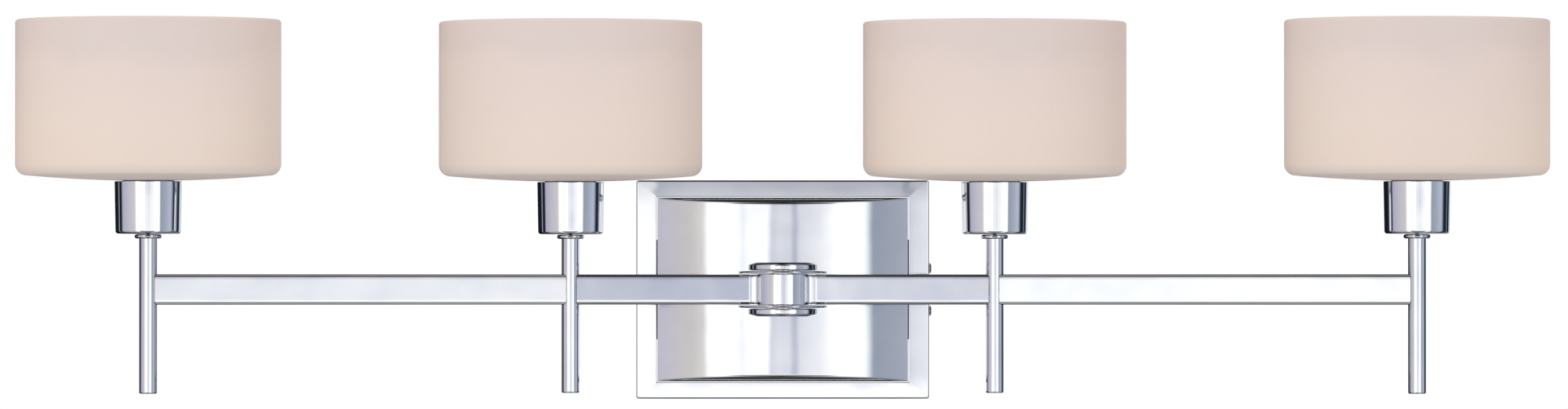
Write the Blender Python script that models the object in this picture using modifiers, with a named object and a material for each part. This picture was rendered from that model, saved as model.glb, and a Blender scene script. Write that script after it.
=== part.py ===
"""Vanity light bar: four opal drum shades on a chrome bar, carried by a hub and stem on a bowed wall plate.

Metres, +Z up. The wall is the plane y = 0 and the light faces -Y. The origin is the middle of the wall
bracket's back face, level with the middle of the bar.
"""

import math

import bmesh
import bpy
from mathutils import Matrix, Vector

# Driving dimensions -----------------------------------------------------------------------------------
GAP = 0.0003  # what two touching pieces keep between them

SHADE_RADIUS = 0.0700
SHADE_BOTTOM = 0.0574  # lowest point of the domed underside
SHADE_HEIGHT = 0.0850
SHADE_DOME = 0.0028  # how much the underside rises from its middle to its rounded corner
SHADE_CORNER = 0.0060
SHADE_WALL = 0.0034
SHADE_HOLE = 0.0142

POST_SPACING = 0.2255  # along the bar, bends included
POST_RADIUS = 0.00475
POST_BORE = 0.0035
POST_BOTTOM = -0.0550
POST_TOP = 0.0292
POST_FLOOR = 0.0030
POST_EDGE = 0.0006
BEAD_RADIUS = 0.00115

BAR_HEIGHT = 0.0160
BAR_DEPTH = 0.0080
BAR_WALL = 0.0015
BAR_EDGE = 0.0015
PASSAGE_HEIGHT = 0.0090  # the opening that the leads take through hub and posts
PASSAGE_DEPTH = 0.0044

HUB_Y = -0.0940
INNER_POST_Y = -0.1000
OUTER_ARM_YAW = math.radians(10.5)
HUB_RADIUS = 0.0140
HUB_HALF = 0.0082
HUB_WALL = 0.0025
HUB_WEB = 0.0016
HUB_THREAD = 0.0065
HUB_BOSS_END = 0.0167
ARM_START = 0.0170
DISC_RADIUS = 0.0235
DISC_THICKNESS = 0.0013
CAP_RADIUS = 0.0183
CAP_THICKNESS = 0.0042
CAP_EDGE = 0.0012

CUP_BOTTOM = 0.0295
CUP_TOP = 0.0571
CUP_TOP_RADIUS = 0.0177
CUP_BOTTOM_RADIUS = 0.0172
CUP_WALL = 0.0012
CUP_FLOOR = 0.0015
CUP_EDGE = 0.0014
SOCKET_NECK = 0.0135  # radius of the threaded neck that the shade's ring turns on
SOCKET_COLLAR = 0.0155
SOCKET_WAIST = 0.0115
SOCKET_BOTTOM = 0.0340
SOCKET_TOP = 0.0710
WELL_FLOOR = 0.0500
WELL_RADIUS = 0.0090
RING_RADIUS = 0.0205
RING_HEIGHT = 0.0048
WASHER_HEIGHT = 0.0009
BULB_RADIUS = 0.0070
BULB_BASE_RADIUS = 0.0052
BULB_LENGTH = 0.0480

PLATE_WIDTH = 0.1580
PLATE_HEIGHT = 0.1180
PLATE_BACK = -0.0010
PLATE_FRONT = -0.0240
PLATE_WALL = 0.0015
PLATE_EDGE = 0.0008
WINDOW_WIDTH = 0.1362
WINDOW_HEIGHT = 0.1001
PANEL_CLEARANCE = 0.0005
PANEL_RISE = 0.0213  # how far the bowed panel stands in front of the frame at its middle
PANEL_DRAFT = 0.125  # how much each end wall leans in, for each unit of height
PANEL_WALL = 0.0012
PANEL_SKIRT = 0.0031  # how far the panel's walls reach behind the frame's front
PANEL_STEP = 0.0002  # and how far they reach in front of it, where the bow starts
PANEL_EDGE = 0.0006  # the low upright edge at each side, where the bow ends
PANEL_FLANGE = 0.0040
BOW_SPARE = 0.0020  # how far a bowed block is drawn past its bow before it is cut

PIPE_RADIUS = 0.0050
PIPE_BORE = 0.0039
PIPE_TAIL = 0.0100  # how far the stem pipe reaches behind the panel's front
SLEEVE_RADIUS = 0.0075
SLEEVE_FOOT = 0.0100
LOCK_WASHER = 0.0010
WASHER_CLEARANCE = 0.0008  # the panel bows back by 0.4 mm across its washer
NUT_RADIUS = 0.0094
NUT_HEIGHT = 0.0048

BRACKET_WIDTH = 0.1538
BRACKET_HEIGHT = 0.0540
BRACKET_DEPTH = 0.0180
BRACKET_SHEET = 0.0020
BOX_SCREW_X = 0.0350  # half of the 70 mm between a junction box's screws
BOX_HOLE = 0.0026
SUPPLY_Z = 0.0160
SUPPLY_HOLE = 0.0080
GROUND_X = -0.0200
GROUND_SHANK = 0.0019
GROUND_WIRE = 0.0008
SIDE_SCREW_Y = -0.0120
SIDE_SCREW_Z = 0.0115
SIDE_SCREW_SHANK = 0.0019
SIDE_SCREW_HEAD = 0.0029
SIDE_SCREW_PROUD = 0.0013

LEAD_RADIUS = 0.0011
LEAD_LEVEL = 0.0020  # how far above or below the bar's middle a lead runs
PIPE_LEAD = 0.0016  # each lead's offset from the stem's axis, both ways
LEAD_BEND = 0.0030
CONNECTOR_X = 0.0193
CONNECTOR_Y = -0.0140
CONNECTOR_Z = -0.0180

SHADE_STEPS = 30
HUB_STEPS = 32
ROUND_STEPS = 24
RING_STEPS = 20
SMALL_STEPS = 16

PANEL_FRONT = PLATE_FRONT - PANEL_RISE
INNER_X = POST_SPACING / 2
OUTER_X = INNER_X + POST_SPACING * math.cos(OUTER_ARM_YAW)
OUTER_Y = INNER_POST_Y - POST_SPACING * math.sin(OUTER_ARM_YAW)
HUB = Vector((0, HUB_Y))
POSTS = {
    1: Vector((-OUTER_X, OUTER_Y)),
    2: Vector((-INNER_X, INNER_POST_Y)),
    3: Vector((INNER_X, INNER_POST_Y)),
    4: Vector((OUTER_X, OUTER_Y)),
}
UPRIGHT = (0, 0, 0)
FACING_WALL = (math.radians(-90), 0, 0)  # turns a piece's top towards the wall
FACING_FRONT = (math.radians(90), 0, 0)
FACING_RIGHT = (0, math.radians(90), 0)

for old in list(bpy.data.objects):
    bpy.data.objects.remove(old, do_unlink=True)

PARTS = bpy.data.collections.new("vanity_light_bar")
CUTTERS = bpy.data.collections.new("cutters")
bpy.context.scene.collection.children.link(PARTS)
bpy.context.scene.collection.children.link(CUTTERS)


# Materials --------------------------------------------------------------------------------------------
def material(name, colour, roughness, metallic=0.0):
    made = bpy.data.materials.new(name)
    made.use_nodes = True
    shader = made.node_tree.nodes["Principled BSDF"]
    shader.inputs["Base Color"].default_value = (*colour, 1.0)
    shader.inputs["Roughness"].default_value = roughness
    shader.inputs["Metallic"].default_value = metallic
    return made


CHROME = material("polished_chrome", (0.80, 0.81, 0.84), 0.05, 1.0)
ZINC = material("zinc_plated_steel", (0.58, 0.58, 0.55), 0.35, 1.0)
BRASS = material("threaded_brass", (0.75, 0.58, 0.28), 0.30, 1.0)
COPPER = material("bare_copper", (0.72, 0.35, 0.20), 0.30, 1.0)
OPAL = material("opal_glass", (0.77, 0.67, 0.60), 0.35)
CERAMIC = material("white_ceramic", (0.84, 0.82, 0.78), 0.45)
QUARTZ = material("frosted_quartz", (0.86, 0.87, 0.88), 0.25)
SILICONE = material("silicone_rubber", (0.70, 0.70, 0.68), 0.60)
INSULATION = material("white_insulation", (0.80, 0.80, 0.78), 0.50)
CONNECTOR = material("orange_plastic", (0.80, 0.25, 0.04), 0.45)


# Modelling helpers ------------------------------------------------------------------------------------
def place(obj, paint=None, at=(0, 0, 0), turn=UPRIGHT, group=PARTS):
    """Puts an object into its collection, at its place, with its material."""
    group.objects.link(obj)
    obj.location = at
    obj.rotation_euler = turn
    if paint:
        obj.data.materials.append(paint)
    if group is CUTTERS:
        obj.hide_render = True
        obj.display_type = "WIRE"
    return obj


def box_mesh(name, size):
    mesh = bpy.data.meshes.new(name)
    bm = bmesh.new()
    bmesh.ops.create_cube(bm, size=1.0, matrix=Matrix.Diagonal((*size, 1.0)))
    bm.to_mesh(mesh)
    bm.free()
    return mesh


def block(name, size, at, paint=None, turn=UPRIGHT, group=PARTS):
    return place(bpy.data.objects.new(name, box_mesh(name, size)), paint, at, turn, group)


def cutting_block(name, size, at, turn=UPRIGHT):
    return block(name, size, at, turn=turn, group=CUTTERS)


def cutting_rod(name, radius, length, at, turn=UPRIGHT, steps=SMALL_STEPS):
    """A cylinder for a cut, centred on its middle. It lies along Z before it is turned."""
    mesh = bpy.data.meshes.new(name)
    bm = bmesh.new()
    bmesh.ops.create_cone(
        bm, cap_ends=True, segments=steps, radius1=radius, radius2=radius, depth=length
    )
    bm.to_mesh(mesh)
    bm.free()
    return place(bpy.data.objects.new(name, mesh), at=at, turn=turn, group=CUTTERS)


def join(obj, other, operation="DIFFERENCE"):
    step = obj.modifiers.new(other.name, "BOOLEAN")
    step.operation = operation
    step.object = other


def bevel(obj, width):
    step = obj.modifiers.new("edges", "BEVEL")
    step.width = width
    step.segments = 2
    step.limit_method = "ANGLE"
    step.angle_limit = math.radians(40)


def arc(centre_r, centre_z, radius, start, end, steps):
    """Points of a round corner in a turned profile, with angles in degrees from +X towards +Z."""
    turns = [math.radians(start + (end - start) * i / steps) for i in range(steps + 1)]
    return [(centre_r + radius * math.cos(a), centre_z + radius * math.sin(a)) for a in turns]


def turned(name, profile, paint, at, turn=UPRIGHT, steps=ROUND_STEPS, closed=True):
    """Turns a profile of (radius, height) points about Z. It runs down the outer side, and a profile
    that isn't closed starts and ends on the axis."""
    mesh = bpy.data.meshes.new(name)
    links = [(i, i + 1) for i in range(len(profile) - 1)]
    if closed:
        links.append((len(profile) - 1, 0))
    mesh.from_pydata([(r, 0.0, z) for r, z in profile], links, [])
    obj = place(bpy.data.objects.new(name, mesh), paint, at, turn)
    screw = obj.modifiers.new("turn", "SCREW")
    screw.steps = steps
    screw.render_steps = steps
    screw.use_merge_vertices = True
    screw.merge_threshold = 0.00001
    screw.use_smooth_shade = True
    return obj


def rounded_route(points, bend, steps=2):
    """The points of a route, each corner replaced by a curve that starts a bend's length before it."""
    points = [Vector(point) for point in points]
    route = [points[0]]
    for before, corner, after in zip(points, points[1:], points[2:]):
        start = corner + (before - corner).normalized() * min(bend, (before - corner).length * 0.45)
        end = corner + (after - corner).normalized() * min(bend, (after - corner).length * 0.45)
        for i in range(steps + 1):
            t = i / steps
            route.append(start * (1 - t) ** 2 + corner * 2 * t * (1 - t) + end * t**2)
    return [*route, points[-1]]


def wire(name, points, radius, paint, bend):
    curve = bpy.data.curves.new(name, "CURVE")
    curve.dimensions = "3D"
    curve.bevel_depth = radius
    curve.bevel_resolution = 1
    curve.use_fill_caps = True
    spline = curve.splines.new("POLY")
    route = rounded_route(points, bend)
    spline.points.add(len(route) - 1)
    for point, spot in zip(spline.points, route):
        point.co = (*spot, 1.0)
    return place(bpy.data.objects.new(name, curve), paint)


# Wall bracket and what fastens it ---------------------------------------------------------------------
def wall_bracket():
    """A U-shaped strap: a plate on the wall and a bent tab at each end, inside the plate's side walls."""
    size = (BRACKET_WIDTH, BRACKET_DEPTH, BRACKET_HEIGHT)
    bracket = block("wall_bracket", size, (0, -BRACKET_DEPTH / 2, 0), ZINC)
    inside = (BRACKET_WIDTH - 2 * BRACKET_SHEET, BRACKET_DEPTH, BRACKET_HEIGHT * 1.2)
    at = (0, -BRACKET_SHEET - BRACKET_DEPTH / 2, 0)
    join(bracket, cutting_block("bracket_room", inside, at))
    through = 6 * BRACKET_SHEET
    ground = (GROUND_X, 0, SUPPLY_Z)
    join(bracket, cutting_rod("supply_hole", SUPPLY_HOLE, through, (0, 0, SUPPLY_Z), FACING_FRONT))
    join(bracket, cutting_rod("ground_hole", GROUND_SHANK + GAP, through, ground, FACING_FRONT))
    for side in (-1, 1):
        at = (side * BOX_SCREW_X, 0, 0)
        join(bracket, cutting_rod(f"box_hole_{side}", BOX_HOLE, through, at, FACING_FRONT))
        at = (BRACKET_WIDTH / 2, SIDE_SCREW_Y, side * SIDE_SCREW_Z)
        name = f"tab_hole_{side}"
        join(bracket, cutting_rod(name, SIDE_SCREW_SHANK + GAP, through, at, FACING_RIGHT))


def screw(name, head_radius, head_height, shank_radius, length, paint, at, turn):
    """A round-headed screw. The middle of its head's top is at its place, and its shank goes down."""
    profile = [(0, 0), (head_radius * 0.6, -head_height * 0.1), (head_radius * 0.92, -head_height * 0.45)]
    profile += [(head_radius, -head_height), (shank_radius, -head_height), (shank_radius, -length)]
    profile.append((0, -length - shank_radius * 0.3))
    turned(name, profile, paint, at, turn, SMALL_STEPS, closed=False)


def screws():
    head = 0.0024
    for side, word in ((-1, "left"), (1, "right")):
        at = (side * BOX_SCREW_X, -BRACKET_SHEET - GAP - head, 0)
        screw(f"bracket_screw_{word}", 0.0042, head, 0.0021, 0.0165, ZINC, at, FACING_FRONT)
    for side, word in ((-1, "lower"), (1, "upper")):
        at = (PLATE_WIDTH / 2 + GAP + SIDE_SCREW_PROUD, SIDE_SCREW_Y, side * SIDE_SCREW_Z)
        size = (SIDE_SCREW_HEAD, SIDE_SCREW_PROUD, SIDE_SCREW_SHANK, 0.0090)
        screw(f"side_screw_{word}", *size, ZINC, at, FACING_RIGHT)
    head = 0.0022
    clamped = 2 * GROUND_WIRE + 2 * GAP  # the wire's end lies under the ground screw's head
    at = (GROUND_X, -BRACKET_SHEET - clamped - head, SUPPLY_Z)
    screw("ground_screw", 0.0040, head, GROUND_SHANK, 0.0070, COPPER, at, FACING_FRONT)


def ground_wire():
    """From under the ground screw's head, flat on the bracket, to the supply hole."""
    start = Vector((GROUND_X + 0.0012, -BRACKET_SHEET - GAP - GROUND_WIRE, SUPPLY_Z - 0.0029))
    clear = start + Vector((0.0070, 0, 0))  # the wire lifts off the bracket past the screw's head
    crest = Vector((-0.0050, CONNECTOR_Y * 0.6, SUPPLY_Z - 0.0020))
    mouth = Vector((0, -0.0110, SUPPLY_Z))
    wire("ground_wire", [start, clear, crest, mouth, (0, 0, SUPPLY_Z)], GROUND_WIRE, COPPER, 0.004)


# Back plate -------------------------------------------------------------------------------------------
def backplate_frame():
    """A drawn pan with a window in its face. Its right wall has two slots, open at the back, that slip
    over the side screws."""
    depth = PLATE_BACK - PLATE_FRONT
    middle = (PLATE_BACK + PLATE_FRONT) / 2
    frame = block("backplate_frame", (PLATE_WIDTH, depth, PLATE_HEIGHT), (0, middle, 0), CHROME)
    bevel(frame, PLATE_EDGE)
    room = (PLATE_WIDTH - 2 * PLATE_WALL, depth, PLATE_HEIGHT - 2 * PLATE_WALL)
    join(frame, cutting_block("pan_room", room, (0, middle + PLATE_WALL, 0)))
    join(frame, cutting_block("window", (WINDOW_WIDTH, depth, WINDOW_HEIGHT), (0, PLATE_FRONT, 0)))
    width = 2 * (SIDE_SCREW_SHANK + GAP)
    reach = PLATE_BACK - SIDE_SCREW_Y + width
    for side in (-1, 1):
        at = (PLATE_WIDTH / 2, SIDE_SCREW_Y + (reach - width) / 2, side * SIDE_SCREW_Z)
        join(frame, cutting_block(f"slot_{side}", (4 * PLATE_WALL, reach, width), at))


def bowed_block(name, width, height, back, group=CUTTERS):
    """A block with a flat back, a front bowed about a vertical axis, and end walls that lean in."""
    depth = PANEL_RISE + BOW_SPARE
    mesh = box_mesh(name, (width, depth, height))
    for vertex in mesh.vertices:
        if vertex.co.y < 0:
            vertex.co.z -= math.copysign(PANEL_DRAFT * depth, vertex.co.z)
    obj = place(bpy.data.objects.new(name, mesh), at=(0, back - depth / 2, 0), group=group)
    rise = PANEL_RISE - PANEL_EDGE
    radius = (width**2 / 4 + rise**2) / (2 * rise)
    at = (0, back - PANEL_RISE + radius, 0)
    join(obj, cutting_rod(name + "_bow", radius, height * 1.5, at, steps=180), "INTERSECT")
    return obj


def backplate_panel():
    """A bowed cover in the frame's window: a thin shell, open at the back, with closed leaning ends, a
    straight skirt through the window, and a flange behind the frame's face."""
    width = WINDOW_WIDTH - 2 * PANEL_CLEARANCE
    height = WINDOW_HEIGHT - 2 * PANEL_CLEARANCE
    inner_width, inner_height = width - 2 * PANEL_WALL, height - 2 * PANEL_WALL
    shell = bowed_block("backplate_panel", width, height, PLATE_FRONT, group=PARTS)
    shell.data.materials.append(CHROME)
    skirt = (width, PANEL_SKIRT + PANEL_STEP, height)
    at = (0, PLATE_FRONT + (PANEL_SKIRT - PANEL_STEP) / 2, 0)
    join(shell, cutting_block("panel_skirt", skirt, at), "UNION")
    flange = (width + 2 * PANEL_FLANGE, PANEL_WALL, height + 2 * PANEL_FLANGE)
    at = (0, PLATE_FRONT + PLATE_WALL + GAP + PANEL_WALL / 2, 0)
    join(shell, cutting_block("panel_flange", flange, at), "UNION")
    join(shell, bowed_block("panel_hollow", inner_width, inner_height, PLATE_FRONT + PANEL_WALL))
    behind = (inner_width, 2 * PANEL_SKIRT, inner_height)
    at = (0, PLATE_FRONT + PANEL_WALL + PANEL_SKIRT, 0)
    join(shell, cutting_block("panel_behind", behind, at))
    hole = cutting_rod("stem_hole", PIPE_RADIUS + GAP, 4 * PIPE_RADIUS, (0, PANEL_FRONT, 0), FACING_FRONT)
    join(shell, hole)


# Stem, hub and caps -----------------------------------------------------------------------------------
def stem():
    """The threaded pipe that ties the hub to the plate, with its nut and washer behind the panel and a
    bright sleeve over it in front."""
    front = HUB_Y + HUB_RADIUS - HUB_WALL
    length = PANEL_FRONT + PIPE_TAIL - front
    pipe = [(PIPE_RADIUS, length), (PIPE_RADIUS, 0), (PIPE_BORE, 0), (PIPE_BORE, length)]
    turned("stem_pipe", pipe, BRASS, (0, front, 0), FACING_WALL, SMALL_STEPS)

    bore = PIPE_RADIUS + GAP
    seat = PANEL_FRONT + PANEL_WALL + WASHER_CLEARANCE
    washer = [(SLEEVE_FOOT, LOCK_WASHER), (SLEEVE_FOOT, 0), (bore, 0), (bore, LOCK_WASHER)]
    turned("lock_washer", washer, ZINC, (0, seat, 0), FACING_WALL, SMALL_STEPS)
    six_sided = bore / math.cos(math.radians(30))  # a six-sided bore that clears the round pipe
    edge = 0.0004
    nut = [(NUT_RADIUS - edge, NUT_HEIGHT), (NUT_RADIUS, NUT_HEIGHT - edge), (NUT_RADIUS, edge)]
    nut += [(NUT_RADIUS - edge, 0), (six_sided, 0), (six_sided, NUT_HEIGHT)]
    turned("stem_nut", nut, BRASS, (0, seat + LOCK_WASHER + GAP, 0), FACING_WALL, 6)

    start = HUB_Y + HUB_RADIUS * 0.6
    length = PANEL_FRONT - GAP - start
    sleeve = [(SLEEVE_FOOT, length), (SLEEVE_FOOT, length - 0.0014), (SLEEVE_RADIUS, length - 0.0022)]
    sleeve += [(SLEEVE_RADIUS, 0), (bore, 0), (bore, length)]
    cover = turned("stem_sleeve", sleeve, CHROME, (0, start, 0), FACING_WALL)
    saddle = cutting_rod("saddle", HUB_RADIUS + GAP, 3 * HUB_HALF, (0, HUB_Y, 0), steps=48)
    join(cover, saddle)


def hub():
    """A hollow drum that the two inner arms butt against, between two thin discs and two screw-on caps."""
    web = HUB_HALF - HUB_WEB
    cavity = HUB_RADIUS - HUB_WALL
    at = (0, HUB_Y, 0)
    body = [(HUB_RADIUS, HUB_HALF), (HUB_RADIUS, -HUB_HALF), (HUB_THREAD, -HUB_HALF), (HUB_THREAD, -web)]
    body += [(cavity, -web), (cavity, web), (HUB_THREAD, web), (HUB_THREAD, HUB_HALF)]
    drum = turned("hub_body", body, CHROME, at, steps=HUB_STEPS)
    inner = HUB_RADIUS - HUB_WALL / 2
    size = (HUB_BOSS_END - inner, BAR_DEPTH * 0.8, BAR_HEIGHT * 0.86)
    for side in (-1, 1):
        centre = (side * (HUB_BOSS_END + inner) / 2, HUB_Y, 0)
        join(drum, cutting_block(f"boss_{side}", size, centre), "UNION")
    size = (2.2 * HUB_BOSS_END, PASSAGE_DEPTH, PASSAGE_HEIGHT)
    join(drum, cutting_block("hub_passage", size, at))
    back = (0, HUB_Y + HUB_RADIUS, 0)
    join(drum, cutting_rod("pipe_hole", PIPE_RADIUS + GAP, 2 * PIPE_RADIUS, back, FACING_FRONT))

    for turn, word in ((UPRIGHT, "top"), ((math.radians(180), 0, 0), "bottom")):
        base = HUB_HALF + GAP
        top = base + DISC_THICKNESS
        edge = DISC_THICKNESS / 2
        disc = [(DISC_RADIUS - edge, top), (DISC_RADIUS, top - edge), (DISC_RADIUS - edge, base)]
        disc += [(HUB_THREAD, base), (HUB_THREAD, top)]
        turned(f"hub_disc_{word}", disc, CHROME, at, turn)
        base = top + GAP
        top = base + CAP_THICKNESS
        stub = HUB_THREAD - GAP
        foot = web + GAP
        cap = [(0, top), *arc(CAP_RADIUS - CAP_EDGE, top - CAP_EDGE, CAP_EDGE, 90, 0, 2)]
        cap += [(CAP_RADIUS, base + GAP), (CAP_RADIUS - GAP, base), (stub, base), (stub, foot), (0, foot)]
        turned(f"hub_cap_{word}", cap, CHROME, at, turn, closed=False)


# Arms and posts ---------------------------------------------------------------------------------------
def arm(name, start, end, seats):
    """A rectangular tube between two points level with the bar's middle, cut to fit the round posts."""
    run = end - start
    turn = (0, 0, math.atan2(run.y, run.x))
    middle = (*((start + end) / 2), 0)
    tube = block(name, (run.length, BAR_DEPTH, BAR_HEIGHT), middle, CHROME, turn)
    bevel(tube, BAR_EDGE)
    bore = (run.length * 1.1, BAR_DEPTH - 2 * BAR_WALL, BAR_HEIGHT - 2 * BAR_WALL)
    join(tube, cutting_block(name + "_bore", bore, middle, turn))
    for seat in seats:
        join(tube, seat)


def arms():
    seats = {}
    for n, spot in POSTS.items():
        at = (*spot, 0)
        seats[n] = cutting_rod(f"post_seat_{n}", POST_RADIUS + GAP, 3 * BAR_HEIGHT, at, steps=40)
    for word, inner, outer in (("left", 2, 1), ("right", 3, 4)):
        start = HUB + (POSTS[inner] - HUB).normalized() * ARM_START
        arm(f"inner_arm_{word}", start, POSTS[inner], [seats[inner]])
        arm(f"outer_arm_{word}", POSTS[inner], POSTS[outer], [seats[inner], seats[outer]])


def passage(post, name, at, other):
    """Cuts the opening that lets the leads through the side of a post that faces another place."""
    towards = (other - at).normalized()
    size = (POST_RADIUS * 1.5, PASSAGE_DEPTH, PASSAGE_HEIGHT)
    middle = at + towards * size[0] / 2
    turn = (0, 0, math.atan2(towards.y, towards.x))
    join(post, cutting_block("passage_" + name, size, (*middle, 0), turn))


def posts():
    """Four tubes, closed at the foot, that stand through the bar, each with a bead under its cup."""
    floor = POST_BOTTOM + POST_FLOOR
    profile = [(0, floor), (POST_BORE, floor), (POST_BORE, POST_TOP), (POST_RADIUS, POST_TOP)]
    profile += [(POST_RADIUS, POST_BOTTOM + POST_EDGE), (POST_RADIUS - POST_EDGE, POST_BOTTOM)]
    profile.append((0, POST_BOTTOM))
    seat = POST_RADIUS + GAP
    middle = POST_TOP - BEAD_RADIUS
    bead = arc(seat + BEAD_RADIUS, middle, BEAD_RADIUS, 90, -90, 3)
    bead += [(seat, middle - BEAD_RADIUS), (seat, middle + BEAD_RADIUS)]
    for n, spot in POSTS.items():
        at = (*spot, 0)
        post = turned(f"post_{n}", profile, CHROME, at, steps=SMALL_STEPS, closed=False)
        other = {1: 2, 2: 1, 3: 4, 4: 3}[n]
        passage(post, f"{n}_{other}", spot, POSTS[other])
        if n in (2, 3):
            passage(post, f"{n}_hub", spot, HUB)
        turned(f"post_bead_{n}", bead, CHROME, at, steps=SMALL_STEPS)


# Lamp holders, shades and lamps -----------------------------------------------------------------------
def cup(n, at):
    profile = [(CUP_TOP_RADIUS, CUP_TOP)]
    profile += arc(CUP_BOTTOM_RADIUS - CUP_EDGE, CUP_BOTTOM + CUP_EDGE, CUP_EDGE, 0, -90, 2)
    floor = CUP_BOTTOM + CUP_FLOOR
    profile += [(POST_BORE, CUP_BOTTOM), (POST_BORE, floor), (CUP_BOTTOM_RADIUS - CUP_EDGE, floor)]
    profile.append((CUP_TOP_RADIUS - CUP_WALL, CUP_TOP))
    turned(f"cup_{n}", profile, CHROME, at)


def socket(n, at):
    """A ceramic holder with a collar at the cup's mouth and a threaded neck for the shade's ring."""
    edge = 0.0006
    collar_top = CUP_TOP - edge
    profile = [(0, WELL_FLOOR), (WELL_RADIUS, WELL_FLOOR), (WELL_RADIUS, SOCKET_TOP)]
    profile += [(SOCKET_NECK - edge, SOCKET_TOP), (SOCKET_NECK, SOCKET_TOP - edge)]
    profile += [(SOCKET_NECK, collar_top), (SOCKET_COLLAR, collar_top)]
    profile += [(SOCKET_COLLAR, collar_top - 0.0040), (SOCKET_WAIST, collar_top - 0.0060)]
    profile += [(SOCKET_WAIST, SOCKET_BOTTOM), (0, SOCKET_BOTTOM)]
    turned(f"socket_{n}", profile, CERAMIC, at, steps=RING_STEPS, closed=False)


def underside(radius):
    """Height of the shade's domed underside at a distance from its axis."""
    return SHADE_BOTTOM + SHADE_DOME * (radius / (SHADE_RADIUS - SHADE_CORNER)) ** 2


def shade(n, at):
    """A drum of opal glass, open at the top, with a slightly domed floor and a hole for the neck."""
    rim = SHADE_WALL / 2
    rim_r, rim_z = SHADE_RADIUS - rim, SHADE_BOTTOM + SHADE_HEIGHT - rim
    corner_r = SHADE_RADIUS - SHADE_CORNER
    corner_z = underside(corner_r) + SHADE_CORNER
    floor = [(r, underside(r)) for r in (corner_r * 0.55, SHADE_HOLE)]
    profile = arc(rim_r, rim_z, rim, 45, 0, 1) + arc(corner_r, corner_z, SHADE_CORNER, 0, -85, 3) + floor
    profile += [(r, z + SHADE_WALL) for r, z in reversed(floor)]
    profile += arc(corner_r, corner_z, SHADE_CORNER - SHADE_WALL, -85, 0, 1)
    profile += arc(rim_r, rim_z, rim, 180, 90, 2)
    turned(f"shade_{n}", profile, OPAL, at, steps=SHADE_STEPS)


def clamp(n, at):
    """The soft washer on the glass floor and the ring that screws down on it."""
    bore = SOCKET_NECK + 0.0005
    seat = underside(RING_RADIUS) + SHADE_WALL + GAP
    top = seat + WASHER_HEIGHT
    washer = [(RING_RADIUS - GAP, top), (RING_RADIUS - GAP, seat), (bore, seat), (bore, top)]
    turned(f"shade_washer_{n}", washer, SILICONE, at, steps=RING_STEPS)
    base = top + GAP
    top = base + RING_HEIGHT
    edge = 0.0012
    ring = [(RING_RADIUS - edge, top), (RING_RADIUS, top - edge), (RING_RADIUS, base)]
    ring += [(bore, base), (bore, top)]
    turned(f"shade_ring_{n}", ring, CHROME, at, steps=RING_STEPS)


def bulb(n, at):
    """A capsule lamp whose base stands in the holder's well."""
    base = WELL_FLOOR + GAP
    top = base + BULB_LENGTH
    profile = [(0, top), (BULB_RADIUS * 0.4, top - 0.0005), (BULB_RADIUS * 0.8, top - 0.0028)]
    profile += [(BULB_RADIUS, top - 0.0070), (BULB_RADIUS, base + 0.0190)]
    profile += [(BULB_BASE_RADIUS, base + 0.0150), (BULB_BASE_RADIUS, base), (0, base)]
    turned(f"bulb_{n}", profile, QUARTZ, at, steps=SMALL_STEPS, closed=False)


# Wiring -----------------------------------------------------------------------------------------------
def lead(n, spot):
    """A lamp's insulated lead, from its connector behind the plate through stem, hub, bar and post."""
    side = math.copysign(1, spot.x)
    up = 1 if n in (2, 3) else -1  # the inner lamps' leads run above the outer lamps'
    level = up * LEAD_LEVEL
    behind = PANEL_FRONT + PIPE_TAIL
    depth = CONNECTOR_Y + up * (LEAD_RADIUS + GAP)
    pipe_x, pipe_z = side * PIPE_LEAD, up * PIPE_LEAD
    inner = POSTS[2 if side < 0 else 3]
    bar_start = HUB + (inner - HUB).normalized() * ARM_START
    route = [(side * (CONNECTOR_X - GAP), depth, CONNECTOR_Z), (side * 0.0120, depth, CONNECTOR_Z)]
    route += [(pipe_x, behind + 0.0080 + up * 0.0018, pipe_z - 0.001), (pipe_x, behind, pipe_z)]
    route += [(pipe_x, HUB_Y + HUB_RADIUS - HUB_WALL + 0.001, pipe_z), (pipe_x * 2, HUB_Y, level)]
    route += [(*bar_start, level), (*inner, level)]
    if n in (1, 4):
        route.append((*spot, level))
    route.append((*spot, SOCKET_BOTTOM - GAP))
    wire(f"lead_{n}", route, LEAD_RADIUS, INSULATION, LEAD_BEND)


def connectors():
    """Two twist-on wire connectors, with their mouths towards the middle."""
    profile = [(0, 0.0170), (0.0030, 0.0165), (0.0042, 0.0060), (0.0052, 0.0040), (0.0052, 0), (0, 0)]
    for side, word in ((-1, "neutral"), (1, "live")):
        at = (side * CONNECTOR_X, CONNECTOR_Y, CONNECTOR_Z)
        turn = (0, side * math.radians(90), 0)
        turned(f"wire_connector_{word}", profile, CONNECTOR, at, turn, SMALL_STEPS, closed=False)


def main():
    wall_bracket()
    screws()
    ground_wire()
    backplate_frame()
    backplate_panel()
    stem()
    hub()
    arms()
    posts()
    for n, spot in POSTS.items():
        for make in (cup, socket, shade, clamp, bulb):
            make(n, (*spot, 0))
        lead(n, spot)
    connectors()


main()
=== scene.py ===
# %% [markdown]
# # Vanity light bar
# Four opal glass drums stand on a bright chrome bar. A hub and a short stem carry the bar in front of a
# bowed wall plate. The sizes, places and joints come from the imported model. This lesson builds the fine
# surfaces and finishes round it, then lights and frames the light the way a catalogue would.

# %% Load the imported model
import math

import bmesh
import bpy
from mathutils import Matrix, Vector


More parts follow.
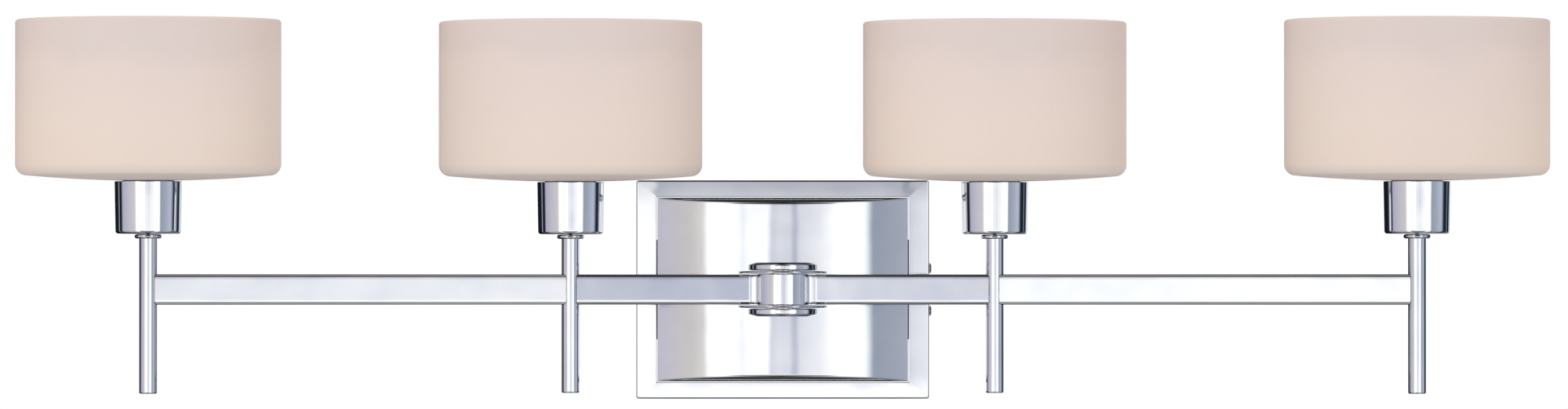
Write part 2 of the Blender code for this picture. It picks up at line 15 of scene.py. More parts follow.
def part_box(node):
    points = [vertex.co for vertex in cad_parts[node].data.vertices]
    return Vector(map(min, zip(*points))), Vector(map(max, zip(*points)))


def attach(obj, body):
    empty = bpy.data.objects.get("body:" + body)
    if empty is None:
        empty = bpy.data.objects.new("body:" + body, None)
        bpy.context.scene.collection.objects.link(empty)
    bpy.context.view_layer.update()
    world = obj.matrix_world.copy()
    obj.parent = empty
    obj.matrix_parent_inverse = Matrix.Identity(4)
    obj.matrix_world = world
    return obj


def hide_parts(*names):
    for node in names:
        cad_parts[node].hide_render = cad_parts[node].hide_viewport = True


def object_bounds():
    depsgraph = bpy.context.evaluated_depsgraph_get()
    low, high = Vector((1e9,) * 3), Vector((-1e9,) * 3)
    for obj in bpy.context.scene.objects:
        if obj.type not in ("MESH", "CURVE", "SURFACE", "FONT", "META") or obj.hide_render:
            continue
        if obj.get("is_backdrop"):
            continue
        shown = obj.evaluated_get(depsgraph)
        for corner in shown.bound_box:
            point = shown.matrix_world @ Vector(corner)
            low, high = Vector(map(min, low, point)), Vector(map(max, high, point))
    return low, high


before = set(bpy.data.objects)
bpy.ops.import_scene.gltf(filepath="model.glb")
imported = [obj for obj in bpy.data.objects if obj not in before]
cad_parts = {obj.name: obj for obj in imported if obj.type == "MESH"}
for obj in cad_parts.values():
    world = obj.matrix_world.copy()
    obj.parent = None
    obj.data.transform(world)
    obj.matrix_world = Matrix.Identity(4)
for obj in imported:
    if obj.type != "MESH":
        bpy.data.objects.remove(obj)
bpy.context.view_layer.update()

# %% [markdown]
# ## Helpers for nodes and colours
# Every material and every Geometry Nodes tree is a set of linked nodes, so one small function adds a node,
# sets its properties and fills its inputs. Colours are written as the hex values that a screen shows,
# and a shader wants them linear. Patterns are given in millimetres, because that is how a maker thinks of
# a grain or a ripple.


# %% Add a node, convert a colour, scale a pattern
def add(tree, kind, inputs=None, **settings):
    """Adds a node. Inputs, by name or number, are values or other nodes' outputs."""
    node = tree.nodes.new(kind)
    for name, value in settings.items():
        setattr(node, name, value)
    for key, value in (inputs or {}).items():
        if isinstance(value, bpy.types.NodeSocket):
            tree.links.new(value, node.inputs[key])
        else:
            node.inputs[key].default_value = value
    return node


def linear(hex_colour):
    """A hex colour as the linear red, green, blue and alpha that a shader wants."""
    shown = [int(hex_colour[i : i + 2], 16) / 255 for i in (1, 3, 5)]
    return (*(v / 12.92 if v <= 0.04045 else ((v + 0.055) / 1.055) ** 2.4 for v in shown), 1.0)


def per_mm(size):
    """The scale of a pattern whose features are this many millimetres across, in a scene in metres."""
    return 1000 / size


print("mid grey is", round(linear("#808080")[0], 3), "when it is linear")

# %% [markdown]
# ## Polished chrome
# The plate, hub, bar, posts and cups are steel and brass, buffed and then electroplated with nickel and a
# thin, bluish chromium. Chrome has almost no colour of its own, so it shows the room. Two things tell the
# eye that it is real metal and not a perfect mirror: the plated sheet has a slow ripple of a few
# centimetres, and the last wipe leaves a faint haze that blurs some reflections more than others.


# %% Polished chrome
def new_material(name, **values):
    """A material with a Principled shader, and the numbers that are the same all over it."""
    made = bpy.data.materials.new(name)
    made.use_nodes = True
    shader = made.node_tree.nodes["Principled BSDF"]
    for key, value in values.items():
        shader.inputs[key.replace("_", " ")].default_value = value
    coords = add(made.node_tree, "ShaderNodeTexCoord").outputs["Object"]
    return made, made.node_tree, shader, coords


def ramp(tree, factor, stops):
    """A colour ramp through (place, hex colour) stops."""
    node = add(tree, "ShaderNodeValToRGB", {"Fac": factor})
    elements = node.color_ramp.elements
    while len(elements) < len(stops):
        elements.new(0.5)
    for element, (place, colour) in zip(elements, stops):
        element.position = place
        element.color = linear(colour)
    return node.outputs["Color"]


def polished_chrome():
    made, tree, shader, coords = new_material("polished chrome plate", Metallic=1.0)
    haze = add(tree, "ShaderNodeTexNoise", {"Vector": coords, "Scale": per_mm(22), "Detail": 4.0})
    blur = add(tree, "ShaderNodeMapRange", {"Value": haze.outputs[0], 3: 0.030, 4: 0.085})
    tree.links.new(blur.outputs[0], shader.inputs["Roughness"])
    tree.links.new(ramp(tree, haze.outputs[0], [(0.3, "#E4E6EA"), (0.7, "#EDEEF0")]), shader.inputs[0])
    ripple = add(tree, "ShaderNodeTexNoise", {"Vector": coords, "Scale": per_mm(16), "Detail": 0.0})
    bump = {"Height": ripple.outputs[0], "Strength": 0.10, "Distance": 0.0008}
    tree.links.new(add(tree, "ShaderNodeBump", bump).outputs[0], shader.inputs["Normal"])
    return made


CHROME = polished_chrome()
print("made", CHROME.name)

# %% [markdown]
# ## Opal glass
# The drums are blown opal glass, etched in acid: a milky white body between clear skins, with a satin
# surface. The etch scatters light, so the highlight is wide and soft, and light passes a few
# millimetres into the wall. The body's tone varies at random in clouds a few centimetres across, with a
# grain too fine to see, which is drawn here as a 0.7 mm texture. On top of that, shade is painted into the
# colour by height: warm ivory low down, greyer and a little darker near the rim.


# %% Opal glass
def opal_glass():
    made, tree, shader, coords = new_material(
        "etched opal glass", Roughness=0.48, IOR=1.5, Subsurface_Weight=0.12, Subsurface_Scale=0.004
    )
    height = add(tree, "ShaderNodeSeparateXYZ", {"Vector": coords}).outputs["Z"]
    bottom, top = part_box("shade_1")[0].z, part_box("shade_1")[1].z
    # painted shade: the drum's height runs the colour ramp, so the colour changes from bottom to rim
    level = add(tree, "ShaderNodeMapRange", {"Value": height, 1: bottom, 2: top})
    cloud = add(tree, "ShaderNodeTexNoise", {"Vector": coords, "Scale": per_mm(45), "Detail": 2.0})
    cloud_and_painted_shade = {0: cloud.outputs[0], 1: 0.30, 2: level.outputs[0]}
    place = add(tree, "ShaderNodeMath", cloud_and_painted_shade, operation="MULTIPLY_ADD").outputs[0]
    # random clouds plus painted shade by height: warm ivory at the bottom, greyer and darker at the rim
    stops = [(0.12, "#EADFD6"), (0.45, "#EBE1D9"), (0.85, "#E7DEDA"), (1.0, "#E1D9D7")]
    tree.links.new(ramp(tree, place, stops), shader.inputs["Base Color"])
    grain = add(tree, "ShaderNodeTexNoise", {"Vector": coords, "Scale": per_mm(0.7), "Detail": 2.0})
    bump = {"Height": grain.outputs[0], "Strength": 0.10, "Distance": 0.0002}
    tree.links.new(add(tree, "ShaderNodeBump", bump).outputs[0], shader.inputs["Normal"])
    return made


OPAL = opal_glass()
print("made", OPAL.name)

# %% [markdown]
# ## The plainer metals
# The bracket, its screws and the lock washer are zinc-plated steel: grey, slightly yellow, with the
# cloudy spangle of the plating bath. The stem pipe and its nut are turned brass, whose tool leaves fine
# rings. The grounding screw and wire are bare copper, already browned in patches by handling. One function
# makes all three, because they differ only in colours, roughness and the size of their mottling.


# %% Zinc, brass and copper
def worked_metal(name, dark, light, roughness, mottle, grain):
    """A dull metal whose mottling is `mottle` mm across and whose surface grain is `grain` mm across."""
    made, tree, shader, coords = new_material(name, Metallic=1.0)
    patches = add(tree, "ShaderNodeTexVoronoi", {"Vector": coords, "Scale": per_mm(mottle)})
    cloud = add(tree, "ShaderNodeTexNoise", {"Vector": coords, "Scale": per_mm(3 * mottle)})
    both = {0: patches.outputs["Color"], 1: 0.35, 2: cloud.outputs[0]}
    shade = add(tree, "ShaderNodeMath", both, operation="MULTIPLY_ADD").outputs[0]
    tree.links.new(ramp(tree, shade, [(0.25, dark), (0.9, light)]), shader.inputs["Base Color"])
    spread = {"Value": shade, 3: roughness - 0.06, 4: roughness + 0.10}
    tree.links.new(add(tree, "ShaderNodeMapRange", spread).outputs[0], shader.inputs["Roughness"])
    fine = add(tree, "ShaderNodeTexNoise", {"Vector": coords, "Scale": per_mm(grain), "Detail": 3.0})
    bump = {"Height": fine.outputs[0], "Strength": 0.25, "Distance": 0.0001}
    tree.links.new(add(tree, "ShaderNodeBump", bump).outputs[0], shader.inputs["Normal"])
    return made


ZINC = worked_metal("zinc plated steel", "#A9A9A2", "#CFCEC4", 0.34, 2.5, 0.5)
BRASS = worked_metal("turned brass", "#A98642", "#D8B868", 0.26, 4.0, 0.3)
COPPER = worked_metal("bare copper", "#8A4A2E", "#D08A62", 0.30, 3.0, 0.4)
print("made", ZINC.name, BRASS.name, COPPER.name)

# %% [markdown]
# ## The parts that don't conduct
# The lamp holders are pressed steatite, an unglazed white ceramic with a fine, chalky tooth and the odd
# grey speck. The lamp is a quartz capsule frosted inside. The washers are milky silicone, the leads are
# sleeved in white glass braid, and the twist-on connectors are moulded in orange nylon with a texture like
# fine leather. Again one function serves, and each call says what sets that stuff apart.


# %% Ceramic, quartz, silicone, braid and nylon
def moulded(name, dark, light, roughness, cloud_size, grain_size, relief, **values):
    """A surface that isn't metal: two close colours in clouds, and a grain that stands `relief` mm high."""
    made, tree, shader, coords = new_material(name, Roughness=roughness, **values)
    cloud = add(tree, "ShaderNodeTexNoise", {"Vector": coords, "Scale": per_mm(cloud_size), "Detail": 3.0})
    colour = ramp(tree, cloud.outputs[0], [(0.30, dark), (0.65, light)])
    tree.links.new(colour, shader.inputs["Base Color"])
    grain = add(tree, "ShaderNodeTexVoronoi", {"Vector": coords, "Scale": per_mm(grain_size)})
    bump = {"Height": grain.outputs["Distance"], "Strength": 0.4, "Distance": relief / 1000}
    tree.links.new(add(tree, "ShaderNodeBump", bump).outputs[0], shader.inputs["Normal"])
    return made


CERAMIC = moulded("pressed steatite", "#DAD6CC", "#EEEBE3", 0.62, 1.2, 0.35, 0.05)
QUARTZ = moulded("frosted quartz", "#D9DEE0", "#EFF2F3", 0.24, 6.0, 0.5, 0.01, IOR=1.46)
SILICONE = moulded("milky silicone", "#C9C9C4", "#DEDED9", 0.55, 5.0, 0.9, 0.02, IOR=1.41)
BRAID = moulded("glass braid sleeving", "#C8C7C0", "#EEEEEA", 0.70, 0.8, 0.45, 0.12)
NYLON = moulded("orange nylon", "#C2500F", "#DE6A22", 0.42, 4.0, 0.4, 0.04, IOR=1.53)
print("made", ", ".join(m.name for m in (CERAMIC, QUARTZ, SILICONE, BRAID, NYLON)))

# %% [markdown]
# ## Settling a piece
# However a piece is made, it ends in the same way. Its shape is taken as a plain mesh, its doubled points
# are merged, its faces are turned outwards, and then it rides on the body that it moves with and stands
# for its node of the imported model. Edges sharper than 35 degrees stay crisp, and the rest shade smooth.
# The large faces lead that shading, so that a flat polished face stays flat up to its rounded edge.

# %% Settle a piece
SHARP = math.radians(35)
MERGE = 0.000002
settled = []


def settle(obj, finish, body, slot, *nodes):
    """Turns an object's shape into a plain closed mesh with its finish, and ties it to its body."""
    graph = bpy.context.evaluated_depsgraph_get()
    obj.data = bpy.data.meshes.new_from_object(obj.evaluated_get(graph))
    obj.modifiers.clear()
    bm = bmesh.new()
    bm.from_mesh(obj.data)
    bmesh.ops.remove_doubles(bm, verts=bm.verts, dist=MERGE)
    bmesh.ops.recalc_face_normals(bm, faces=bm.faces)
    bm.to_mesh(obj.data)
    bm.free()
    obj.data.materials.clear()
    obj.data.materials.append(finish)
    obj.data.shade_smooth()
    obj.data.set_sharp_from_angle(angle=SHARP)
    weigh = obj.modifiers.new("large faces lead the shading", "WEIGHTED_NORMAL")
    weigh.weight, weigh.keep_sharp = 100, True
    shaped(obj, Matrix.Identity(4))
    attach(obj, body)
    if nodes:
        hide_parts(*nodes)
    settled.append(obj)
    return obj


def new_object(name, mesh):
    obj = bpy.data.objects.new(name, mesh)
    bpy.context.scene.collection.objects.link(obj)
    return obj


def node_modifier(obj, tree, values):
    """Puts a Geometry Nodes tree on an object. Each value goes in by its socket's identifier."""
    step = obj.modifiers.new(tree.name, "NODES")
    step.node_group = tree
    for item in tree.interface.items_tree:
        if item.in_out == "INPUT" and item.name in values:
            step[item.identifier] = values[item.name]
    return obj


def shaped(obj, turn):
    """Moves what an object's modifiers make to its place, in the mesh itself."""
    graph = bpy.context.evaluated_depsgraph_get()
    mesh = bpy.data.meshes.new_from_object(obj.evaluated_get(graph))
    obj.modifiers.clear()
    mesh.transform(turn)
    obj.data = mesh
    return obj


print("pieces will merge points closer than", MERGE * 1000, "mm")

# %% [markdown]
# ## A lathe made of nodes
# Half of this light was made on a lathe or spun on one: drums, cups, posts, beads, caps, sleeve, lamps.
# A Screw modifier would turn a profile too. The node tree is shorter to reuse: it takes the profile as its
# geometry, lays a grid with one row of points for each step round, and puts each grid point at its profile
# point's radius and height. Where the rows meet, and on the axis, the points are merged.


# %% The lathe
def new_tree(name, sockets):
    """An empty Geometry Nodes tree with named inputs, its input node, and a function that ends it."""
    tree = bpy.data.node_groups.new(name, "GeometryNodeTree")
    for label, kind in sockets.items():
        tree.interface.new_socket(label, in_out="INPUT", socket_type=kind)
    tree.interface.new_socket("Piece", in_out="OUTPUT", socket_type="NodeSocketGeometry")
    given = add(tree, "NodeGroupInput")

    def end(geometry):
        real = add(tree, "GeometryNodeRealizeInstances", {"Geometry": geometry})
        paint = {"Geometry": real.outputs[0], "Material": given.outputs["Finish"]}
        add(tree, "NodeGroupOutput", {0: add(tree, "GeometryNodeSetMaterial", paint).outputs[0]})

    return tree, given.outputs, end


def lathe_tree():
    kinds = {"Profile": "NodeSocketGeometry", "Steps": "NodeSocketInt", "Finish": "NodeSocketMaterial"}
    tree, given, end = new_tree("lathe", kinds)
    size = add(tree, "GeometryNodeAttributeDomainSize", {"Geometry": given["Profile"]})
    points = size.outputs["Point Count"]
    rows = add(tree, "ShaderNodeMath", {0: given["Steps"], 1: 1.0}, operation="ADD").outputs[0]
    grid = add(tree, "GeometryNodeMeshGrid", {"Vertices X": rows, "Vertices Y": points})
    index = add(tree, "GeometryNodeInputIndex").outputs[0]
    along = add(tree, "ShaderNodeMath", {0: index, 1: points}, operation="MODULO").outputs[0]
    row = add(tree, "ShaderNodeMath", {0: index, 1: points}, operation="DIVIDE").outputs[0]
    row = add(tree, "ShaderNodeMath", {0: row}, operation="FLOOR").outputs[0]
    share = add(tree, "ShaderNodeMath", {0: row, 1: given["Steps"]}, operation="DIVIDE").outputs[0]
    angle = add(tree, "ShaderNodeMath", {0: share, 1: math.tau}, operation="MULTIPLY").outputs[0]
    spot = add(tree, "GeometryNodeInputPosition").outputs[0]
    reads = {"Geometry": given["Profile"], "Value": spot, "Index": along}
    point = add(tree, "GeometryNodeSampleIndex", data_type="FLOAT_VECTOR")
    for key, value in reads.items():
        tree.links.new(value, point.inputs[key])
    swung = {"Vector": point.outputs[0], "Angle": angle}
    swung = add(tree, "ShaderNodeVectorRotate", swung, rotation_type="Z_AXIS").outputs[0]
    laid = add(tree, "GeometryNodeSetPosition", {"Geometry": grid.outputs["Mesh"], "Position": swung})
    end(add(tree, "GeometryNodeMergeByDistance", {"Geometry": laid.outputs[0], "Distance": MERGE}).outputs[0])
    return tree


LATHE = lathe_tree()
print("the lathe tree has", len(LATHE.nodes), "nodes")

# %% [markdown]
# ## Profiles with rounded corners
# No edge of a real part is perfectly sharp: the light catches a bright or dark line along it. So a profile
# is a list of corners, each with its own rounding. Polished metal needs one more thing. A flat stretch
# that ends in a rounding would shade as if it were bent all the way, so a support point is added just
# outside each end of every rounding, and the flat stays flat.

# %% Rounded profiles and turned pieces
ARC_STEPS = 6
SUPPORT = 0.35  # distance from a rounding to its support point, as a share of its radius


def rounded(corners, closed=False):
    """Points along (radius, height, rounding) corners. Each rounding gives way where the stretch is short."""
    spots = [Vector((r, z)) for r, z, _ in corners]
    count = len(corners)
    points = []
    for i, (spot, (_, _, rounding)) in enumerate(zip(spots, corners)):
        at_end = not closed and i in (0, count - 1)
        if rounding == 0 or at_end:
            points.append(spot)
            continue
        before, after = spots[i - 1] - spot, spots[(i + 1) % count] - spot
        bend = before.angle(after)
        cut = rounding / math.tan(bend / 2)
        cut = min(cut, 0.42 * before.length, 0.42 * after.length)
        radius = cut * math.tan(bend / 2)
        start, finish = spot + before.normalized() * cut, spot + after.normalized() * cut
        centre = spot + (before.normalized() + after.normalized()).normalized() * math.hypot(cut, radius)
        first, last = start - centre, finish - centre
        sweep = first.angle_signed(last)
        points.append(start + before.normalized() * cut * SUPPORT)
        for step in range(ARC_STEPS + 1):
            points.append(centre + Matrix.Rotation(-sweep * step / ARC_STEPS, 2) @ first)
        points.append(finish + after.normalized() * cut * SUPPORT)
    if closed:
        points.append(points[0])
    return points


def turned(name, points, at, steps=96):
    """A piece turned on the lathe from its profile, then put in its place by a matrix."""
    mesh = bpy.data.meshes.new(name)
    mesh.from_pydata([(p.x, 0, p.y) for p in points], [(i, i + 1) for i in range(len(points) - 1)], [])
    obj = node_modifier(new_object(name, mesh), LATHE, {"Steps": steps, "Finish": CHROME})
    return shaped(obj, at)


def upright(node):
    """Where a turned node stands: its axis as a matrix, its radius, and its lowest and highest points."""
    low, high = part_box(node)
    axis = Matrix.Translation(((low.x + high.x) / 2, (low.y + high.y) / 2, 0))
    return axis, (high.x - low.x) / 2, low.z, high.z


print("one rounded corner has", len(rounded([(0, 0, 0), (1, 0, 0.1), (1, 1, 0)])) - 2, "points")

# %% [markdown]
# ## The opal drums
# A drum is blown into a mould, its rim is fire-polished and a hole is drilled through its floor for the
# lamp holder. The floor is slightly domed downwards and meets the wall in a soft 6 mm corner. The whole
# drum follows one profile, so the lathe makes it.

# %% Drums
DRUM_WALL = 0.0034
DRUM_DOME = 0.0028
DRUM_CORNER = 0.0060
DRUM_HOLE = 0.0142
FLOOR_STEPS = 10


def dome(radius, low, corner_at):
    return low + DRUM_DOME * (radius / corner_at) ** 2


for n in range(1, 5):
    axis, radius, low, high = upright(f"shade_{n}")
    corner_at = radius - DRUM_CORNER
    rs = [DRUM_HOLE + (corner_at - DRUM_HOLE) * i / FLOOR_STEPS for i in range(FLOOR_STEPS + 1)]
    base = low - DRUM_DOME * (DRUM_HOLE / corner_at) ** 2
    outside = [Vector((r, dome(r, base, corner_at))) for r in rs]
    inside = [point + Vector((0, DRUM_WALL)) for point in reversed(outside)]
    corner = Vector((corner_at, dome(corner_at, base, corner_at) + DRUM_CORNER))
    bend = [
        Vector((math.sin(a), -math.cos(a)))
        for a in (math.radians(10 + 80 * i / 10) for i in range(11))
    ]
    rim = Vector((radius - DRUM_WALL / 2, high - DRUM_WALL / 2))
    lip = [
        Vector((math.cos(a), math.sin(a))) * DRUM_WALL / 2
        for a in (math.radians(180 * i / 12) for i in range(13))
    ]
    profile = outside + [corner + turn * DRUM_CORNER for turn in bend]
    profile += [rim + turn for turn in lip]
    profile += [corner + turn * (DRUM_CORNER - DRUM_WALL) for turn in reversed(bend)]
    profile += inside + [outside[0]]
    drum = turned(f"opal_drum_{n}", profile, axis, 160)
    settle(drum, OPAL, f"shade_{n}", "opal_glass", f"shade_{n}")
print("drums are", round(2000 * radius), "mm across and", round(1000 * (high - low)), "mm tall")

# %% [markdown]
# ## Cups, beads, posts, caps, discs and sleeve
# Each cup is spun from sheet and tapers a little towards its foot. A small bead hides where it meets its
# post. The posts are tubes, closed and slightly rounded at the foot. On the hub, two thin discs lie under
# two screw-on caps, and a sleeve with a flared foot covers the threaded stem.

# %% Cups, beads and posts
CUP_WALL = 0.0012
CUP_EDGE = 0.0014
CUP_TAPER = 0.0005
POST_BORE = 0.0035
POST_FLOOR = 0.0030
for n in range(1, 5):
    axis, radius, low, high = upright(f"cup_{n}")
    foot, mouth = radius - CUP_TAPER, radius
    cup = [(POST_BORE, low, 0), (foot, low, CUP_EDGE), (mouth, high, 0.0003)]
    cup.append((mouth - CUP_WALL, high, 0.0003))
    cup += [(foot - CUP_WALL, low + CUP_WALL, 0.0008), (POST_BORE, low + CUP_WALL, 0), (POST_BORE, low, 0)]
    settle(turned(f"cup_shell_{n}", rounded(cup), axis), CHROME, "fixture", "chrome", f"cup_{n}")

    axis, radius, low, high = upright(f"post_{n}")
    post = [(0, low, 0), (radius, low, 0.0008), (radius, high, 0.0002), (POST_BORE, high, 0.0002)]
    post += [(POST_BORE, low + POST_FLOOR, 0), (0, low + POST_FLOOR, 0)]
    settle(turned(f"post_tube_{n}", rounded(post), axis, 64), CHROME, "fixture", "chrome", f"post_{n}")

    axis, radius, low, high = upright(f"post_bead_{n}")
    bead_r = (high - low) / 2
    ring = [math.tau * i / 24 for i in range(25)]
    bead = [
        Vector((radius - bead_r + bead_r * math.cos(a), low + bead_r + bead_r * math.sin(a)))
        for a in ring
    ]
    settle(turned(f"bead_{n}", bead, axis, 64), CHROME, "fixture", "chrome", f"post_bead_{n}")
print("posts are", round(2000 * upright("post_1")[1], 1), "mm thick")

# %% Hub discs and caps
HUB_BORE = 0.0065
for word, over in (("top", 1), ("bottom", -1)):
    axis, radius, low, high = upright(f"hub_disc_{word}")
    roll = 0.49 * (high - low)
    disc = [(radius, low, roll), (radius, high, roll), (HUB_BORE, high, 0), (HUB_BORE, low, 0)]
    disc = turned(f"hub_washer_{word}", rounded(disc, closed=True), axis)
    settle(disc, CHROME, "fixture", "chrome", f"hub_disc_{word}")

    axis, radius, low, high = upright(f"hub_cap_{word}")
    top = max(high * over, low * over)
    bottom = upright(f"hub_disc_{word}")[3 if over > 0 else 2] * over + 0.0003
    stub = min(high * over, low * over)
    cap = [(0, top, 0), (radius * 0.80, top, 0.0010), (radius, top - 0.0009, 0.0009)]
    cap.append((radius, bottom, 0.0008))
    cap += [(HUB_BORE - 0.0003, bottom, 0), (HUB_BORE - 0.0003, stub, 0.0003), (0, stub, 0)]
    cap = turned(f"cap_{word}", [Vector((p.x, p.y * over)) for p in rounded(cap)], axis)
    settle(cap, CHROME, f"hub_cap_{word}", "chrome", f"hub_cap_{word}")
print("caps are", round(2000 * radius, 1), "mm across")

# %% Stem sleeve
FACING_WALL = Matrix.Rotation(math.radians(-90), 4, "X")
low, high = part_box("stem_sleeve")
hub_y = sum(corner.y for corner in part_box("hub_disc_top")) / 2
sleeve_r, foot_r, bore = 0.0075, (high.x - low.x) / 2, 0.0053
reach = high.y - hub_y
start = 0.0125  # the sleeve starts just inside the hub drum's skin
sleeve = [(bore, start, 0), (sleeve_r, start, 0), (sleeve_r, reach - 0.0030, 0.0020)]
sleeve += [(foot_r, reach - 0.0014, 0.0006), (foot_r, reach, 0.0003), (bore, reach, 0), (bore, start, 0)]
place = Matrix.Translation((0, hub_y, 0)) @ FACING_WALL
settle(turned("stem_cover", rounded(sleeve), place), CHROME, "fixture", "chrome", "stem_sleeve")
print("the stem is", round(1000 * (reach - start)), "mm long")

# %% [markdown]
# ## Lofts
# A lathe can't make the bars, the hub's bosses or the wall plate. Each of those is a row of outlines with
# the same number of points, joined by quads: a loft. Writing it once in bmesh gives full control over
# where the rows lie, and so over how the polished faces shade.


# %% A loft, and a rectangle with rounded corners
def loft(name, rows, ends="capped", closed=True):
    """Joins outlines of equal length. The ends are capped, open, or joined to each other as a ring."""
    bm = bmesh.new()
    made = [[bm.verts.new(point) for point in row] for row in rows]
    pairs = list(zip(made, made[1:])) + ([(made[-1], made[0])] if ends == "joined" else [])
    count = len(rows[0])
    for a, b in pairs:
        for i in range(count if closed else count - 1):
            j = (i + 1) % count
            bm.faces.new((a[i], a[j], b[j], b[i]))
    if ends == "capped":
        for row in (made[0], made[-1]):
            middle = bm.verts.new(sum((v.co for v in row), Vector()) / count)
            for i in range(count):
                bm.faces.new((row[i], row[(i + 1) % count], middle))
    mesh = bpy.data.meshes.new(name)
    bmesh.ops.recalc_face_normals(bm, faces=bm.faces)
    bm.to_mesh(mesh)
    bm.free()
    return new_object(name, mesh)


def rectangle(half_width, half_height, rounding, sides, corner=6):
    """Points round a rectangle, with the same count whatever its size: `sides` steps along each side."""
    points = []
    for quarter in range(4):
        across = (1, -1, -1, 1)[quarter]
        up = (1, 1, -1, -1)[quarter]
        centre = Vector((across * (half_width - rounding), up * (half_height - rounding)))
        for step in range(corner + 1):
            a = math.radians(90 * (quarter + step / corner))
            points.append(centre + rounding * Vector((math.cos(a), math.sin(a))))
        following = ((-1, 1), (-1, -1), (1, -1), (1, 1))[quarter]
        target = Vector((following[0] * (half_width - rounding), following[1] * (half_height - rounding)))
        a = math.radians(90 * (quarter + 1))
        target += rounding * Vector((math.cos(a), math.sin(a)))
        last = points[-1]
        points += [last.lerp(target, step / sides) for step in range(1, sides)]
    return points


print("a rectangle with 8 steps a side has", len(rectangle(1, 1, 0.1, 8)), "points")

# %% [markdown]
# ## The bars
# The bars are 16 x 8 mm rectangular tube with rounded edges. Two run from the hub to the inner posts,
# almost straight. Two go on from there to the outer posts, coming forward by 10.5 degrees. Where a
# bar meets a post, its end is cut hollow to fit the tube. At the hub it ends square, with a small rounding.

# %% Bars
BAR_DEPTH = 0.0080
BAR_EDGE = 0.0015
SEAT_GAP = 0.0003
HUB_END = 0.0170
END_ROUNDING = 0.0010


def bar_section(inset=0.0):
    half = (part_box("inner_arm_left")[1].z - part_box("inner_arm_left")[0].z) / 2
    return rectangle(BAR_DEPTH / 2 - inset, half - inset, BAR_EDGE - inset, 8)


def bar(name, start, end, from_hub, node):
    """A bar between two vertical axes. Each point of its section is (across, up)."""
    run = end - start
    along = run.normalized()
    across = Vector((-along.y, along.x))
    seat = upright("post_1")[1] + SEAT_GAP

    def spot(distance, point):
        flat = start + along * distance + across * point.x
        return Vector((flat.x, flat.y, point.y))

    def reach(point):
        return math.sqrt(seat**2 - point.x**2)

    full = bar_section()
    rows = []
    if from_hub:
        for step in range(6):
            a = math.radians(90 * step / 5)
            inset = END_ROUNDING * (1 - math.sin(a))
            back = END_ROUNDING * (1 - math.cos(a))
            rows.append([spot(HUB_END + back, point) for point in bar_section(inset)])
        rows.append([spot(HUB_END + 1.5 * END_ROUNDING, point) for point in full])
    else:
        rows.append([spot(reach(point), point) for point in full])
        rows.append([spot(2 * seat, point) for point in full])
    rows.append([spot(run.length - 2 * seat, point) for point in full])
    rows.append([spot(run.length - reach(point), point) for point in full])
    settle(loft(name, rows), CHROME, "fixture", "chrome", node)


hub_at = Vector((0, hub_y))
posts = {n: upright(f"post_{n}")[0].translation.xy for n in range(1, 5)}
for side, inner, outer in (("left", 2, 1), ("right", 3, 4)):
    bar(f"inner_bar_{side}", hub_at, posts[inner], True, f"inner_arm_{side}")
    bar(f"outer_bar_{side}", posts[inner], posts[outer], False, f"outer_arm_{side}")
print("outer bars are", round(1000 * (posts[4] - posts[3]).length), "mm from post to post")

# %% [markdown]
# ## The hub
# The hub is a short drum. A boss on each side flares out to meet a bar, and the flare is what gives the
# fine light and dark stripes beside the drum. Drum and bosses are cast in one, so they share one piece.

# %% Hub drum with bosses
HUB_RADIUS = 0.0140
BOSS_END = 0.0167
BOSS_STEP = 0.0006  # how far the bosses stay inside the drum's flat ends
low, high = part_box("hub_body")
drum = [(HUB_BORE, low.z, 0), (HUB_RADIUS, low.z, 0.0004), (HUB_RADIUS, high.z, 0.0004)]
drum.append((HUB_BORE, high.z, 0))
drum = turned("hub_drum", rounded(drum + drum[:1]), Matrix.Translation((0, hub_y, 0)), 128)
boss_half = high.z - BOSS_STEP
flare = [(0.0128, 0.0046), (0.0136, 0.0039), (0.0144, 0.0035), (0.0154, 0.0033), (0.0161, 0.0032)]
flare.append((BOSS_END, 0.0031))
parts = [drum]
for side in (-1, 1):
    rows = []
    for x, half_depth in flare:
        section = rectangle(half_depth, boss_half, 0.0010, 4)
        rows.append([Vector((side * x, hub_y + p.x, p.y)) for p in section])
    parts.append(loft(f"boss_{side}", rows))
bm = bmesh.new()
for part in parts:
    bm.from_mesh(part.data)
for part in parts[1:]:
    bpy.data.objects.remove(part)
bm.to_mesh(drum.data)
bm.free()
settle(drum, CHROME, "fixture", "chrome", "hub_body")
print("the hub is", round(2000 * BOSS_END, 1), "mm wide with its bosses")

# %% [markdown]
# ## The wall plate
# The plate is drawn from sheet: a shallow pan with a window in its face, and a bowed panel that stands
# forward through the window. Neither is quite flat. The pan's border is crowned by a little over a
# millimetre, which is enough to swing its reflections: white on the left, blue-grey on the right, darker
# above than below. The panel bows 21 mm about a vertical axis, and its top and bottom walls lean in.

# %% Plate frame
PLATE_WALL = 0.0015
PLATE_EDGE = 0.0008
CROWN_START = 0.9  # the crown starts at this share of the window's half size
CROWN = Vector((4.0, 0.8))  # how fast it falls away across and up, in metres for each square metre
WINDOW_HALF = Vector((0.0681, 0.05005))
SIDE_STEPS = 26
low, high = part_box("backplate_frame")
plate_half = Vector((high.x, high.z))
plate_front, plate_back = low.y, high.y


def crown(point, extra=0.0):
    """The front face's depth at a point (x, z), further back by `extra`."""
    over = [max(0, abs(c) - CROWN_START * w) for c, w in zip(point, WINDOW_HALF)]
    return plate_front + CROWN.x * over[0] ** 2 + CROWN.y * over[1] ** 2 + extra


def plate_row(half, rounding, depth):
    points = rectangle(half.x, half.y, rounding, SIDE_STEPS)
    return [Vector((p.x, depth(p) if callable(depth) else depth, p.y)) for p in points]


